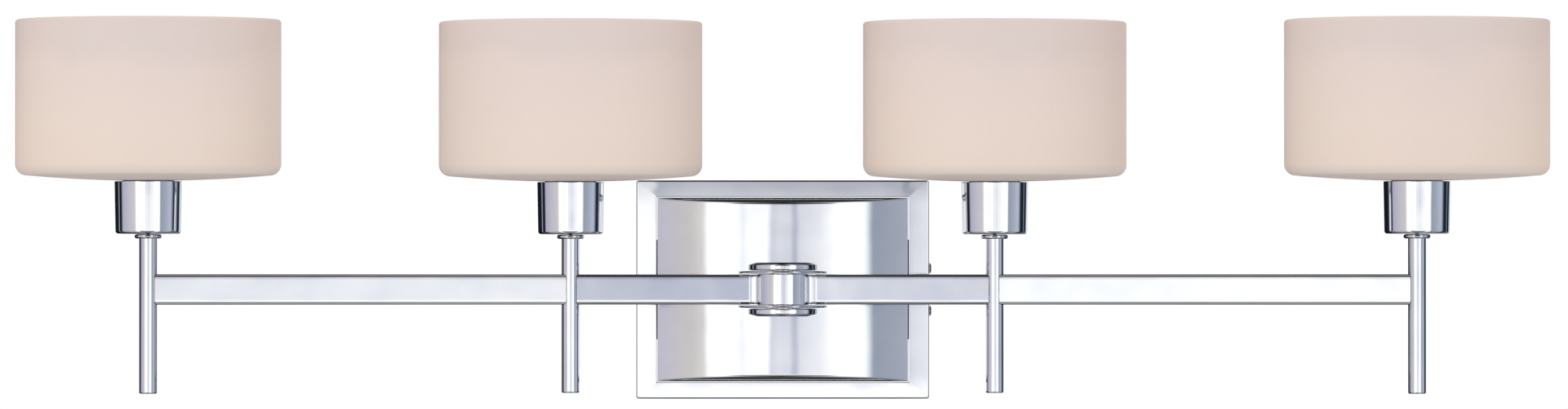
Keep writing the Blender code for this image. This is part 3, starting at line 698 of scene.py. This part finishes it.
rim = 0.0012  # the outer corners' rounding, seen from the front
inner_half = plate_half - Vector((PLATE_WALL, PLATE_WALL))
rows = [plate_row(plate_half, rim, plate_back), plate_row(plate_half, rim, plate_front + 0.0050)]
for step in range(7):
    a = math.radians(90 * step / 6)
    inset = PLATE_EDGE * (1 - math.cos(a))
    extra = PLATE_EDGE * (1 - math.sin(a))
    half = plate_half - Vector((inset, inset))
    rows.append(plate_row(half, rim, lambda p, extra=extra: crown(p, extra)))
outer = plate_half - Vector((PLATE_EDGE, PLATE_EDGE))
for share in (0.05, 0.2, 0.35, 0.5, 0.65, 0.8, 0.95):
    rows.append(plate_row(outer.lerp(WINDOW_HALF, share), rim * (1 - share) + 0.0004 * share, crown))
for extra, spread in ((0.0, 0.00025), (0.0001, 0.0001), (0.00035, 0.0), (PLATE_WALL, 0.0)):
    half = WINDOW_HALF + Vector((spread, spread))
    rows.append(plate_row(half, 0.0004, lambda p, extra=extra: crown(p, extra)))
rows.append(plate_row(inner_half, 0.0004, lambda p: crown(p, PLATE_WALL)))
rows.append(plate_row(inner_half, 0.0004, plate_back))
pan = loft("plate_frame", rows, ends="joined")
print("the border is crowned by", round(1000 * (crown(plate_half) - plate_front), 2), "mm at its corners")

# %% Slots for the side screws
SIDE_SCREW_SHANK = 0.0019
for word in ("upper", "lower"):
    low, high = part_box(f"side_screw_{word}")
    middle = (low + high) / 2
    slot_width = 2 * (SIDE_SCREW_SHANK + SEAT_GAP)
    mesh = bpy.data.meshes.new("slot")
    bm = bmesh.new()
    reach = plate_back - middle.y + slot_width
    size = Matrix.Diagonal((4 * PLATE_WALL, reach, slot_width, 1))
    centre = Vector((plate_half.x, middle.y + (reach - slot_width) / 2, middle.z))
    bmesh.ops.create_cube(bm, size=1, matrix=Matrix.Translation(centre) @ size)
    bm.to_mesh(mesh)
    bm.free()
    cutter = new_object(f"slot_{word}", mesh)
    cut = pan.modifiers.new("slot", "BOOLEAN")
    cut.object = cutter
    shaped(pan, Matrix.Identity(4))
    bpy.data.objects.remove(cutter)
settle(pan, CHROME, "fixture", "chrome", "backplate_frame")
print("slots are", round(1000 * slot_width, 1), "mm wide")

# %% Bowed panel
PANEL_HALF = WINDOW_HALF - Vector((0.0005, 0.0005))
PANEL_RISE = plate_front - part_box("backplate_panel")[0].y
PANEL_DRAFT = 0.125
PANEL_LEDGE = 0.0006  # the low upright edge at each side, where the bow ends
PANEL_SHEET = 0.0012
PANEL_TAIL = 0.0035  # how far the panel's walls go back behind the plate's front
PANEL_EDGE = 0.0011
PANEL_STATIONS = 72
LAST_STATION = 0.9999  # the outermost stations lie just inside the panel's end walls
bow_rise = PANEL_RISE - PANEL_LEDGE
bow_radius = (PANEL_HALF.x**2 + bow_rise**2) / (2 * bow_rise)


def panel_section(x):
    """Points (depth, height) of the panel's upright section at x, from its bottom edge to its top edge."""
    rise = math.sqrt(bow_radius**2 - x**2) - (bow_radius - PANEL_RISE)
    top = PANEL_HALF.y - PANEL_DRAFT * rise
    rounding = min(PANEL_EDGE, 0.5 * rise + 0.0001)
    half = [(PANEL_TAIL, PANEL_HALF.y, 0), (0, PANEL_HALF.y, 0.0002), (-rise, top, rounding), (-rise, 0, 0)]
    upper = rounded(half)
    lower = [Vector((p.x, -p.y)) for p in upper]
    return lower + upper[-2::-1]


rows = []
for i in range(PANEL_STATIONS + 1):
    x = PANEL_HALF.x * math.sin(math.radians(-90 + 180 * i / PANEL_STATIONS))
    x *= LAST_STATION
    rows.append([Vector((x, plate_front + p.x, p.y)) for p in panel_section(x)])
edges = [
    [Vector((side * PANEL_HALF.x, plate_front + PANEL_TAIL, p.z)) for p in row]
    for side, row in ((-1, rows[0]), (1, rows[-1]))
]
rows = [edges[0], *rows, edges[1]]
panel = loft("plate_panel", rows, ends="open", closed=False)
sheet = panel.modifiers.new("sheet", "SOLIDIFY")
sheet.thickness = PANEL_SHEET
sheet.offset = -1
settle(panel, CHROME, "fixture", "chrome", "backplate_panel")
print("the panel's bow has a radius of", round(1000 * bow_radius), "mm")

# %% [markdown]
# ## Lamp holders, rings and lamps
# Inside each drum stands the holder's white ceramic neck. The drum rests on the holder's collar, a soft
# washer lies on the glass, and a knurled ring screws down the neck to clamp it. The neck's thread is a
# spiral with a bead swept along it, and the knurl is one small ridge repeated round the ring. Both are
# Geometry Nodes trees, so their pitch and count stay numbers that can be changed.


# %% Trees for a thread and for a ring of ridges
def thread_tree():
    kinds = {"Radius": "NodeSocketFloat", "Pitch": "NodeSocketFloat", "Turns": "NodeSocketFloat"}
    kinds |= {"Bead": "NodeSocketFloat", "Finish": "NodeSocketMaterial"}
    tree, given, end = new_tree("thread", kinds)
    rise = {0: given["Pitch"], 1: given["Turns"]}
    rise = add(tree, "ShaderNodeMath", rise, operation="MULTIPLY").outputs[0]
    turns = {"Rotations": given["Turns"], "Start Radius": given["Radius"], "End Radius": given["Radius"]}
    helix = add(tree, "GeometryNodeCurveSpiral", {"Resolution": 40, "Height": rise, **turns}).outputs[0]
    bead = {"Resolution": 6, "Radius": given["Bead"]}
    bead = add(tree, "GeometryNodeCurvePrimitiveCircle", bead).outputs[0]
    sweep = {"Curve": helix, "Profile Curve": bead, "Fill Caps": True}
    end(add(tree, "GeometryNodeCurveToMesh", sweep).outputs[0])
    return tree


def ridge_tree():
    kinds = {"Radius": "NodeSocketFloat", "Top Radius": "NodeSocketFloat", "Count": "NodeSocketInt"}
    kinds |= {"Height": "NodeSocketFloat", "Width": "NodeSocketFloat", "Finish": "NodeSocketMaterial"}
    tree, given, end = new_tree("ridges", kinds)
    circle = {"Vertices": given["Count"], "Radius": given["Radius"]}
    ring = add(tree, "GeometryNodeMeshCircle", circle).outputs[0]
    half = add(tree, "ShaderNodeMath", {0: given["Width"], 1: 0.5}, operation="MULTIPLY").outputs[0]
    rod = {"Vertices": 6, "Radius": half, "Depth": given["Height"]}
    ridge = add(tree, "GeometryNodeMeshCylinder", rod).outputs["Mesh"]
    spot = add(tree, "GeometryNodeInputPosition").outputs[0]
    lean = add(tree, "ShaderNodeMath", {0: given["Top Radius"], 1: given["Radius"]}, operation="SUBTRACT")
    unit = add(tree, "ShaderNodeVectorMath", {0: spot}, operation="NORMALIZE").outputs[0]
    scaled = {0: unit, "Scale": lean.outputs[0]}
    outward = add(tree, "ShaderNodeVectorMath", scaled, operation="SCALE").outputs[0]
    tall = add(tree, "ShaderNodeCombineXYZ", {"Z": given["Height"]}).outputs[0]
    axis = add(tree, "ShaderNodeVectorMath", {0: outward, 1: tall}, operation="ADD").outputs[0]
    turn = add(tree, "FunctionNodeAlignRotationToVector", {"Vector": axis}, axis="Z").outputs[0]
    spread = {"Points": ring, "Instance": ridge, "Rotation": turn}
    end(add(tree, "GeometryNodeInstanceOnPoints", spread).outputs[0])
    return tree


THREAD, RIDGES = thread_tree(), ridge_tree()
print("thread tree:", len(THREAD.nodes), "nodes; ridge tree:", len(RIDGES.nodes), "nodes")


def from_tree(name, tree, values, place):
    """A piece that a tree makes from nothing but its inputs, put in its place."""
    obj = node_modifier(new_object(name, bpy.data.meshes.new(name)), tree, values)
    return shaped(obj, place)


# %% Lamp holders with threaded necks
COLLAR_HEIGHT = 0.0040
WELL_RADIUS = 0.0090
WELL_FLOOR = 0.0500
NECK = 0.0135
for n in range(1, 5):
    axis, collar, low, high = upright(f"socket_{n}")
    seat = upright(f"cup_{n}")[3] - 0.0006
    holder = [(0, low, 0), (0.0115, low, 0.0008), (0.0115, seat - 0.0060, 0.0008)]
    holder += [(collar, seat - COLLAR_HEIGHT, 0.0006), (collar, seat, 0.0006), (NECK, seat, 0.0003)]
    holder += [(NECK, high, 0.0006), (WELL_RADIUS, high, 0.0006), (WELL_RADIUS, WELL_FLOOR, 0.0006)]
    holder.append((0, WELL_FLOOR, 0))
    settle(turned(f"lamp_holder_{n}", rounded(holder), axis), CERAMIC, "fixture", "ceramic", f"socket_{n}")
    values = {"Radius": NECK - 0.0001, "Pitch": 0.0018, "Turns": 6.5, "Bead": 0.00035, "Finish": CERAMIC}
    place = axis @ Matrix.Translation((0, 0, seat + 0.0012))
    settle(from_tree(f"neck_thread_{n}", THREAD, values, place), CERAMIC, "fixture", "ceramic")
print("necks stand", round(1000 * (high - seat), 1), "mm above their collars")

# %% Washers and knurled rings
RING_BORE = 0.0140
for n in range(1, 5):
    axis, radius, low, high = upright(f"shade_washer_{n}")
    washer = [(radius, low, 0.0002), (radius, high, 0.0002), (RING_BORE, high, 0), (RING_BORE, low, 0)]
    washer = turned(f"soft_washer_{n}", rounded(washer, closed=True), axis)
    settle(washer, SILICONE, f"shade_{n}", "silicone", f"shade_washer_{n}")
    axis, radius, low, high = upright(f"shade_ring_{n}")
    body = radius - 0.0004
    ring = [(body, low, 0.0002), (body, high - 0.0011, 0.0006), (body - 0.0012, high, 0.0004)]
    ring += [(RING_BORE, high, 0.0003), (RING_BORE, low, 0)]
    ring = turned(f"clamp_ring_{n}", rounded(ring, closed=True), axis)
    settle(ring, CHROME, f"shade_ring_{n}", "chrome", f"shade_ring_{n}")
    knurl = {"Radius": body, "Top Radius": body, "Count": 64, "Height": 0.0030, "Width": 0.0008}
    place = axis @ Matrix.Translation((0, 0, low + 0.0019))
    ridges = from_tree(f"ring_knurl_{n}", RIDGES, knurl | {"Finish": CHROME}, place)
    settle(ridges, CHROME, f"shade_ring_{n}", "chrome")
print("rings are", round(2000 * radius, 1), "mm across")

# %% Capsule lamps
BASE_RADIUS = 0.0052
for n in range(1, 5):
    axis, radius, low, high = upright(f"bulb_{n}")
    waist = low + 0.0165
    capsule = [(0, waist, 0), (BASE_RADIUS * 0.85, waist, 0), (BASE_RADIUS * 0.85, waist + 0.0010, 0.0004)]
    capsule += [(radius, waist + 0.0035, 0.0030), (radius, high - 0.0050, 0.0040)]
    capsule += [(radius * 0.45, high - 0.0003, 0.0030), (0, high, 0)]
    capsule = turned(f"lamp_capsule_{n}", rounded(capsule), axis, 64)
    settle(capsule, QUARTZ, f"bulb_{n}", "quartz", f"bulb_{n}")
    base = [(0, low, 0), (BASE_RADIUS, low, 0.0006), (BASE_RADIUS, waist - 0.0002, 0.0008)]
    base.append((0, waist - 0.0002, 0))
    settle(turned(f"lamp_base_{n}", rounded(base), axis, 48), CERAMIC, f"bulb_{n}", "ceramic")
print("lamps are", round(1000 * (high - low)), "mm tall")

# %% [markdown]
# ## Screws
# All the screws are pan heads with a cross recess and a threaded shank. One tree makes them: a squashed
# sphere cut flat below is the head, two crossed boxes are taken out of it, and the shank is a rod with the
# same spiral bead as the neck. Each screw is then turned to face its own way.


# %% Trees for a screw
def screw_tree():
    lengths = ("Head Radius", "Head Height", "Shank Radius", "Length", "Pitch")
    kinds = dict.fromkeys(lengths, "NodeSocketFloat") | {"Finish": "NodeSocketMaterial"}
    tree, given, end = new_tree("screw", kinds)

    def times(socket, factor):
        return add(tree, "ShaderNodeMath", {0: socket, 1: factor}, operation="MULTIPLY").outputs[0]

    def vector(x, y, z):
        return add(tree, "ShaderNodeCombineXYZ", {"X": x, "Y": y, "Z": z}).outputs[0]

    wide, tall = given["Head Radius"], given["Head Height"]
    ball = add(tree, "GeometryNodeMeshUVSphere", {"Segments": 40, "Rings": 24, "Radius": 1.0}).outputs["Mesh"]
    squash = {"Geometry": ball, "Scale": vector(wide, wide, tall)}
    squash["Translation"] = vector(0.0, 0.0, times(tall, -1.0))
    ball = add(tree, "GeometryNodeTransform", squash).outputs[0]
    under = vector(times(wide, 4.0), times(wide, 4.0), times(tall, 2.0))
    below = {"Geometry": add(tree, "GeometryNodeMeshCube", {"Size": under}).outputs["Mesh"]}
    below["Translation"] = vector(0.0, 0.0, times(tall, -2.0))
    slabs = [add(tree, "GeometryNodeTransform", below).outputs[0]]
    for narrow, long in ((0.26, 1.15), (1.15, 0.26)):
        size = vector(times(wide, narrow), times(wide, long), times(tall, 1.1))
        slabs.append(add(tree, "GeometryNodeMeshCube", {"Size": size}).outputs["Mesh"])
    for slab in slabs:
        cut = add(tree, "GeometryNodeMeshBoolean", {"Mesh 1": ball}, operation="DIFFERENCE", solver="EXACT")
        tree.links.new(slab, cut.inputs["Mesh 2"])
        ball = cut.outputs["Mesh"]
    rod = {"Vertices": 24, "Radius": given["Shank Radius"], "Depth": given["Length"]}
    rod = add(tree, "GeometryNodeMeshCylinder", rod).outputs["Mesh"]
    halves = {0: times(given["Length"], -0.5), 1: times(tall, 0.5)}
    middle = add(tree, "ShaderNodeMath", halves, operation="SUBTRACT").outputs[0]
    rod = {"Geometry": rod, "Translation": vector(0.0, 0.0, middle)}
    rod = add(tree, "GeometryNodeTransform", rod)
    turns = {0: times(given["Length"], 0.8), 1: given["Pitch"]}
    turns = add(tree, "ShaderNodeMath", turns, operation="DIVIDE")
    spiral = {"Resolution": 24, "Rotations": turns.outputs[0], "Start Radius": given["Shank Radius"]}
    spiral |= {"End Radius": given["Shank Radius"], "Height": times(given["Length"], 0.8)}
    spiral = add(tree, "GeometryNodeCurveSpiral", spiral).outputs[0]
    bead = {"Resolution": 5, "Radius": times(given["Pitch"], 0.22)}
    sweep = {"Curve": spiral, "Fill Caps": True}
    sweep["Profile Curve"] = add(tree, "GeometryNodeCurvePrimitiveCircle", bead).outputs[0]
    sweep = add(tree, "GeometryNodeCurveToMesh", sweep).outputs[0]
    foot = vector(0.0, 0.0, times(given["Length"], -0.98))
    sweep = add(tree, "GeometryNodeTransform", {"Geometry": sweep, "Translation": foot}).outputs[0]
    joined = add(tree, "GeometryNodeJoinGeometry")
    for piece in (ball, rod.outputs[0], sweep):
        tree.links.new(piece, joined.inputs[0])
    end(joined.outputs[0])
    return tree


SCREW = screw_tree()


def screw(node, name, finish, slot, body, facing, head_radius, head_height, shank_radius):
    """A screw in the place of its node. Its head's top is at the node's outermost point along `facing`."""
    low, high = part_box(node)
    out = Vector(facing)
    middle = (low + high) / 2
    reach = sum(abs(c) * (h - m) for c, h, m in zip(out, high, middle))
    values = {"Head Radius": head_radius, "Head Height": head_height, "Shank Radius": shank_radius}
    values |= {"Length": 2 * reach - head_height * 0.5, "Pitch": 0.0008, "Finish": finish}
    place = Matrix.Translation(middle + out * reach) @ out.to_track_quat("Z", "Y").to_matrix().to_4x4()
    settle(from_tree(name, SCREW, values, place), finish, body, slot, node)


for word in ("left", "right"):
    size = (0.0042, 0.0024, 0.0019)  # head radius, head height and shank radius
    screw(f"bracket_screw_{word}", f"box_screw_{word}", ZINC, "zinc", "wall_mount", (0, -1, 0), *size)
for word in ("upper", "lower"):
    size = (0.0029, 0.0013, 0.0017)
    screw(f"side_screw_{word}", f"plate_screw_{word}", ZINC, "zinc", f"side_screw_{word}", (1, 0, 0), *size)
screw("ground_screw", "earth_screw", COPPER, "copper", "wall_mount", (0, -1, 0), 0.0040, 0.0022, 0.0017)
print("made 5 screws")

# %% [markdown]
# ## Behind the plate
# Twist-on connectors are tapered caps with ribs to grip. The bracket, the leads, the grounding wire and
# the fastenings on the stem have the right shapes already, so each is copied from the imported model, its
# loose triangles are merged into a clean surface, and hard edges get a small bevel where metal was cut.

# %% Wire connectors
CONNECTOR_RIBS = 16
for word, side in (("live", 1), ("neutral", -1)):
    low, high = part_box(f"wire_connector_{word}")
    middle = (low + high) / 2
    length = high.x - low.x
    mouth = (high.y - low.y) / 2
    place = Matrix.Translation((middle.x - side * length / 2, middle.y, middle.z))
    place @= Matrix.Rotation(side * math.radians(90), 4, "Y")
    cap = [(0, 0.0012, 0), (mouth - 0.0012, 0.0012, 0), (mouth - 0.0009, 0, 0.0003), (mouth, 0, 0.0003)]
    cap += [(mouth, 0.0040, 0.0006), (0.0041, 0.0062, 0.0008), (0.0031, 0.0150, 0.0020)]
    cap += [(0.0022, length, 0.0010), (0, length, 0)]
    cap = turned(f"connector_cap_{word}", rounded(cap), place, 64)
    settle(cap, NYLON, "fixture", "connector", f"wire_connector_{word}")
    ribs = {"Radius": 0.00385, "Top Radius": 0.00290, "Height": 0.0092, "Width": 0.0009}
    ribs |= {"Count": CONNECTOR_RIBS, "Finish": NYLON}
    at = place @ Matrix.Translation((0, 0, 0.0106))
    ribs = from_tree(f"connector_ribs_{word}", RIDGES, ribs, at)
    settle(ribs, NYLON, "fixture", "connector")
print("each connector has", CONNECTOR_RIBS, "ribs")


# %% Bracket, leads and fastenings
def clean_copy(node, name, finish, body, slot, edge=0.0):
    """A copy of a node's solid with its triangles merged, and its hard edges bevelled if `edge` is given."""
    obj = new_object(name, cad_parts[node].data.copy())
    bm = bmesh.new()
    bm.from_mesh(obj.data)
    bmesh.ops.remove_doubles(bm, verts=bm.verts, dist=MERGE)
    bmesh.ops.dissolve_limit(bm, angle_limit=math.radians(0.5), verts=bm.verts, edges=bm.edges)
    bm.to_mesh(obj.data)
    bm.free()
    if edge:
        step = obj.modifiers.new("edges", "BEVEL")
        step.width = edge
        step.segments = 3
        step.limit_method = "ANGLE"
        step.angle_limit = math.radians(50)
    return settle(obj, finish, body, slot, node)


clean_copy("wall_bracket", "crossbar", ZINC, "wall_mount", "zinc", 0.0004)
clean_copy("lock_washer", "stem_washer", ZINC, "fixture", "zinc", 0.0002)
clean_copy("stem_nut", "stem_lock_nut", BRASS, "fixture", "brass", 0.0003)
clean_copy("stem_pipe", "stem_tube", BRASS, "fixture", "brass", 0.0003)
clean_copy("ground_wire", "earth_wire", COPPER, "wall_mount", "copper")
for n in range(1, 5):
    clean_copy(f"lead_{n}", f"sleeved_lead_{n}", BRAID, "fixture", "insulation")
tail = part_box("stem_pipe")[1]
thread = {"Radius": tail.x - 0.0001, "Pitch": 0.0009, "Turns": 9.0, "Bead": 0.0003, "Finish": BRASS}
place = Matrix.Translation((0, tail.y - 0.0002, 0)) @ Matrix.Rotation(math.radians(90), 4, "X")
settle(from_tree("stem_thread", THREAD, thread, place), BRASS, "fixture", "brass")
print("pieces so far:", len(settled))

# %% [markdown]
# ## What the chrome sees of the light itself
# The bands on the wall plate should run unbroken from top to bottom, with no dark cups or posts across
# them. So the four posts and what stands on them are left out of reflections. Their pieces are the ones
# whose names end in their post's number.

# %% Leave the posts and drums out of reflections
for piece in settled:
    piece.visible_glossy = not piece.name[-1].isdigit()
print(sum(not piece.visible_glossy for piece in settled), "pieces are left out of reflections")

# %% [markdown]
# ## Floor
# The stage is a plain pale floor well below the light. It bounces some light up under the drums. It is
# kept out of the chrome's reflections, as a black card would keep it in a studio, so that the lower edges
# of the bars keep the fine dark line that shows their shape.

# %% Floor
FLOOR_LEVEL = -0.45
FLOOR_SIZE = 40.0
FLOOR_THICKNESS = 0.02


def floor_paint():
    made, tree, shader, coords = new_material("pale studio floor", Roughness=0.7)
    cloud = add(tree, "ShaderNodeTexNoise", {"Vector": coords, "Scale": per_mm(250), "Detail": 2.0})
    tree.links.new(ramp(tree, cloud.outputs[0], [(0.3, "#E9F1FA"), (0.7, "#EEF5FC")]), shader.inputs[0])
    return made


bm = bmesh.new()
bmesh.ops.create_cube(bm, size=1, matrix=Matrix.Diagonal((FLOOR_SIZE, FLOOR_SIZE, FLOOR_THICKNESS, 1)))
bmesh.ops.translate(bm, verts=bm.verts, vec=(0, 0, FLOOR_LEVEL - FLOOR_THICKNESS / 2))
mesh = bpy.data.meshes.new("floor")
bm.to_mesh(mesh)
bm.free()
floor = new_object("floor", mesh)
floor.data.materials.append(floor_paint())
floor.visible_glossy = False
floor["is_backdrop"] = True
print("the floor lies", round(-1000 * FLOOR_LEVEL), "mm below the bar")

# %% [markdown]
# ## The room that the chrome reflects
# Chrome is lit by what it reflects, so the studio is drawn as a world of cards. Seen from the light, going
# round from straight in front: a lilac-grey gap between two big white cards, then a warm grey wall on the
# left and a cool grey one on the right, and darkness behind. Straight in front and behind it is also dark
# above and below the cards, which draws the outlines, but leaves the chrome very dark when it is seen from
# above or behind. To the sides it stays lighter. The gap fades out below eye level. Diffuse surfaces such
# as the glass get an even, soft light instead, a little peach from the sides. The backdrop that the camera
# sees is plain white. Directions are in degrees, from straight in front and positive to the right.

# %% World
CARDS = [
    (-180, "#101318"), (-124, "#14181F"), (-119, "#8E949C"), (-113, "#14181F"), (-103, "#1B2028"),
    (-96, "#A6A4B4"), (-66, "#B9B6C0"), (-48, "#C2BEBB"), (-42, "#CFCCCA"), (-39, "#FFFFFF"),
    (-24, "#FFFFFF"), (-21, "#EEF1F3"), (-18, "#FFFFFF"),
    (41, "#FFFFFF"), (44, "#F1F4F8"), (48, "#8F97A3"), (66, "#9BA1AF"), (88, "#B0B4C2"), (97, "#7C8390"),
    (101, "#232A34"), (118, "#151A22"), (122, "#7E8792"), (127, "#171C24"), (138, "#1A1F27"),
    (150, "#C9D2DC"), (172, "#C9D2DC"), (180, "#101318"),
]  # fmt: skip
GAP = [(-8, 0.0), (-5.6, 0.62), (-2, 0.52), (3.6, 0.55), (5.4, 0.85), (6.6, 0.85), (8.6, 0.52)]
GAP += [(19, 0.32), (27, 0.0)]
GAP_COLOUR = "#959AB0"
CARD_TOP, CARD_BOTTOM = 10, -10
WHITE_CARD = 1.30  # brighter than the backdrop, because chrome gives back about four fifths
SOFT_LIGHT = 1.02

world = bpy.data.worlds.new("studio")
bpy.context.scene.world = world
world.use_nodes = True
tree = world.node_tree
tree.nodes.clear()
heading = add(tree, "ShaderNodeSeparateXYZ", {0: add(tree, "ShaderNodeTexCoord").outputs["Generated"]})
front = add(tree, "ShaderNodeMath", {0: heading.outputs["Y"], 1: -1.0}, operation="MULTIPLY").outputs[0]
azimuth = {0: heading.outputs["X"], 1: front}
azimuth = add(tree, "ShaderNodeMath", azimuth, operation="ARCTAN2").outputs[0]
elevation = add(tree, "ShaderNodeMath", {0: heading.outputs["Z"]}, operation="ARCSINE").outputs[0]


def share(angle, low, high):
    """An angle as a share from 0 to 1 between two limits in degrees."""
    limits = {"Value": angle, 1: math.radians(low), 2: math.radians(high)}
    return add(tree, "ShaderNodeMapRange", limits).outputs[0]


def numbers(factor, stops, low, high):
    """A ramp of plain numbers, whose stops are in degrees between two limits."""
    node = add(tree, "ShaderNodeValToRGB", {"Fac": factor})
    elements = node.color_ramp.elements
    while len(elements) < len(stops):
        elements.new(0.5)
    for element, (angle, value) in zip(elements, stops):
        element.position = (angle - low) / (high - low)
        element.color = (value, value, value, 1)
    return node.outputs["Color"]


around = share(azimuth, -180, 180)
cards = ramp(tree, around, [((angle + 180) / 360, colour) for angle, colour in CARDS])
gap = numbers(share(azimuth, -45, 45), GAP, -45, 45)
fade = numbers(share(elevation, -20, 20), [(-2.2, 0.0), (-1.0, 0.9), (1.5, 0.95), (9, 1.0)], -20, 20)
gap = add(tree, "ShaderNodeMath", {0: gap, 1: fade}, operation="MULTIPLY").outputs[0]
level = [(0.2, 1.0), (0.7, 0.93), (2.6, 0.66)]
outline = [(-90, 0.10), (-45, 0.25), (-28, 0.25), (-22, 0.05), (CARD_BOTTOM - 3, 0.05), (CARD_BOTTOM + 3, 1.0)]
outline += level + [(CARD_TOP - 3, 0.60), (CARD_TOP + 3, 0.05), (90, 0.05)]
open_side = [(-90, 0.50), (-30, 0.70), (-12, 0.85), (-4, 1.0), (0.2, 1.0)]
open_side += [(8, 0.90), (30, 0.75), (90, 0.35)]
sector = [(-180, 1.0), (-155, 1.0), (-148, 0.0), (-30, 0.0), (-25, 1.0)]
sector += [(-angle, amount) for angle, amount in reversed(sector)]
outline = numbers(share(elevation, -90, 90), outline, -90, 90)
open_side = numbers(share(elevation, -90, 90), open_side, -90, 90)
sector = numbers(around, sector, -180, 180)


def mixed(factor, a, b, blend="MIX"):
    node = add(tree, "ShaderNodeMix", {"Factor": factor}, data_type="RGBA", blend_type=blend)
    for value, socket in ((a, node.inputs[6]), (b, node.inputs[7])):
        if isinstance(value, bpy.types.NodeSocket):
            tree.links.new(value, socket)
        else:
            socket.default_value = value
    return node.outputs[2]


steep = mixed(sector, open_side, outline)
seen = mixed(1.0, mixed(gap, cards, linear(GAP_COLOUR)), steep, "MULTIPLY")
seen = add(tree, "ShaderNodeBackground", {"Color": seen, "Strength": WHITE_CARD}).outputs[0]
side = add(tree, "ShaderNodeMath", {0: heading.outputs["X"]}, operation="ABSOLUTE").outputs[0]
soft = mixed(side, linear("#FAF8FF"), linear("#FFE7C8"))
dimmer_below = [(-90, 0.70), (-10, 0.86), (25, 1.0)]
dimmer_below = numbers(share(elevation, -90, 90), dimmer_below, -90, 90)
soft = mixed(1.0, soft, dimmer_below, "MULTIPLY")
soft = add(tree, "ShaderNodeBackground", {"Color": soft, "Strength": SOFT_LIGHT}).outputs[0]
plain = add(tree, "ShaderNodeBackground", {"Color": (1, 1, 1, 1), "Strength": 1.0}).outputs[0]
ray = add(tree, "ShaderNodeLightPath").outputs
lit = add(tree, "ShaderNodeMixShader", {0: ray["Is Glossy Ray"], 1: soft, 2: seen}).outputs[0]
lit = add(tree, "ShaderNodeMixShader", {0: ray["Is Camera Ray"], 1: lit, 2: plain}).outputs[0]
add(tree, "ShaderNodeOutputWorld", {"Surface": lit})
print("the world has", len(CARDS), "card edges")

# %% [markdown]
# ## Soft key light
# One large softbox, above and to the left of the camera, gives the drums a gentle turn from light to
# shade. The chrome doesn't see it: its cards are in the world.

# %% Key light
key = bpy.data.lights.new("softbox", "AREA")
key.shape = "RECTANGLE"
key.size, key.size_y = 1.6, 1.0
key.energy = 9.0
key.color = linear("#FFF9F4")[:3]
softbox = bpy.data.objects.new("softbox", key)
bpy.context.scene.collection.objects.link(softbox)
softbox.location = (-1.2, -2.6, 1.5)
softbox.rotation_euler = (Vector((0, 0, 0.05)) - softbox.location).to_track_quat("-Z", "Y").to_euler()
softbox.visible_glossy = False
softbox.visible_camera = False
print("the softbox gives", key.energy, "W")

# %% [markdown]
# ## Camera
# The view is square on, level with the bar, through a long lens from 5 m, which keeps the drums' rims
# almost flat. The lens is chosen for the frame: the bar's width fills it, and the camera tips up by half a
# degree so that the drums are in.

# %% Camera
IMAGE_WIDTH, IMAGE_HEIGHT = 1999, 522
CAMERA_DISTANCE = 5.0
FOCAL_SHARE = 5.878  # focal length as a share of the image's width
SENSOR = 36.0
TIP_UP = math.radians(0.529)
camera = bpy.data.objects.new("camera", bpy.data.cameras.new("camera"))
bpy.context.scene.collection.objects.link(camera)
camera.location = (0.0007, -CAMERA_DISTANCE, 0.0)
camera.rotation_euler = (math.radians(90) + TIP_UP, 0, 0)
camera.data.sensor_width = SENSOR
camera.data.lens = FOCAL_SHARE * SENSOR
camera.data.clip_end = 100
bpy.context.scene.camera = camera
bpy.context.scene.view_settings.view_transform = "Standard"
print("lens:", round(camera.data.lens, 1), "mm for an image of", IMAGE_WIDTH, "x", IMAGE_HEIGHT)

# %% [markdown]
# ## Measure and finish
# The visual model has to keep to the imported model's size, so the last line measures it and prints its size.

# %% Measure and finish
low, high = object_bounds()
print("visual size in mm:", [round(1000 * side, 1) for side in high - low])
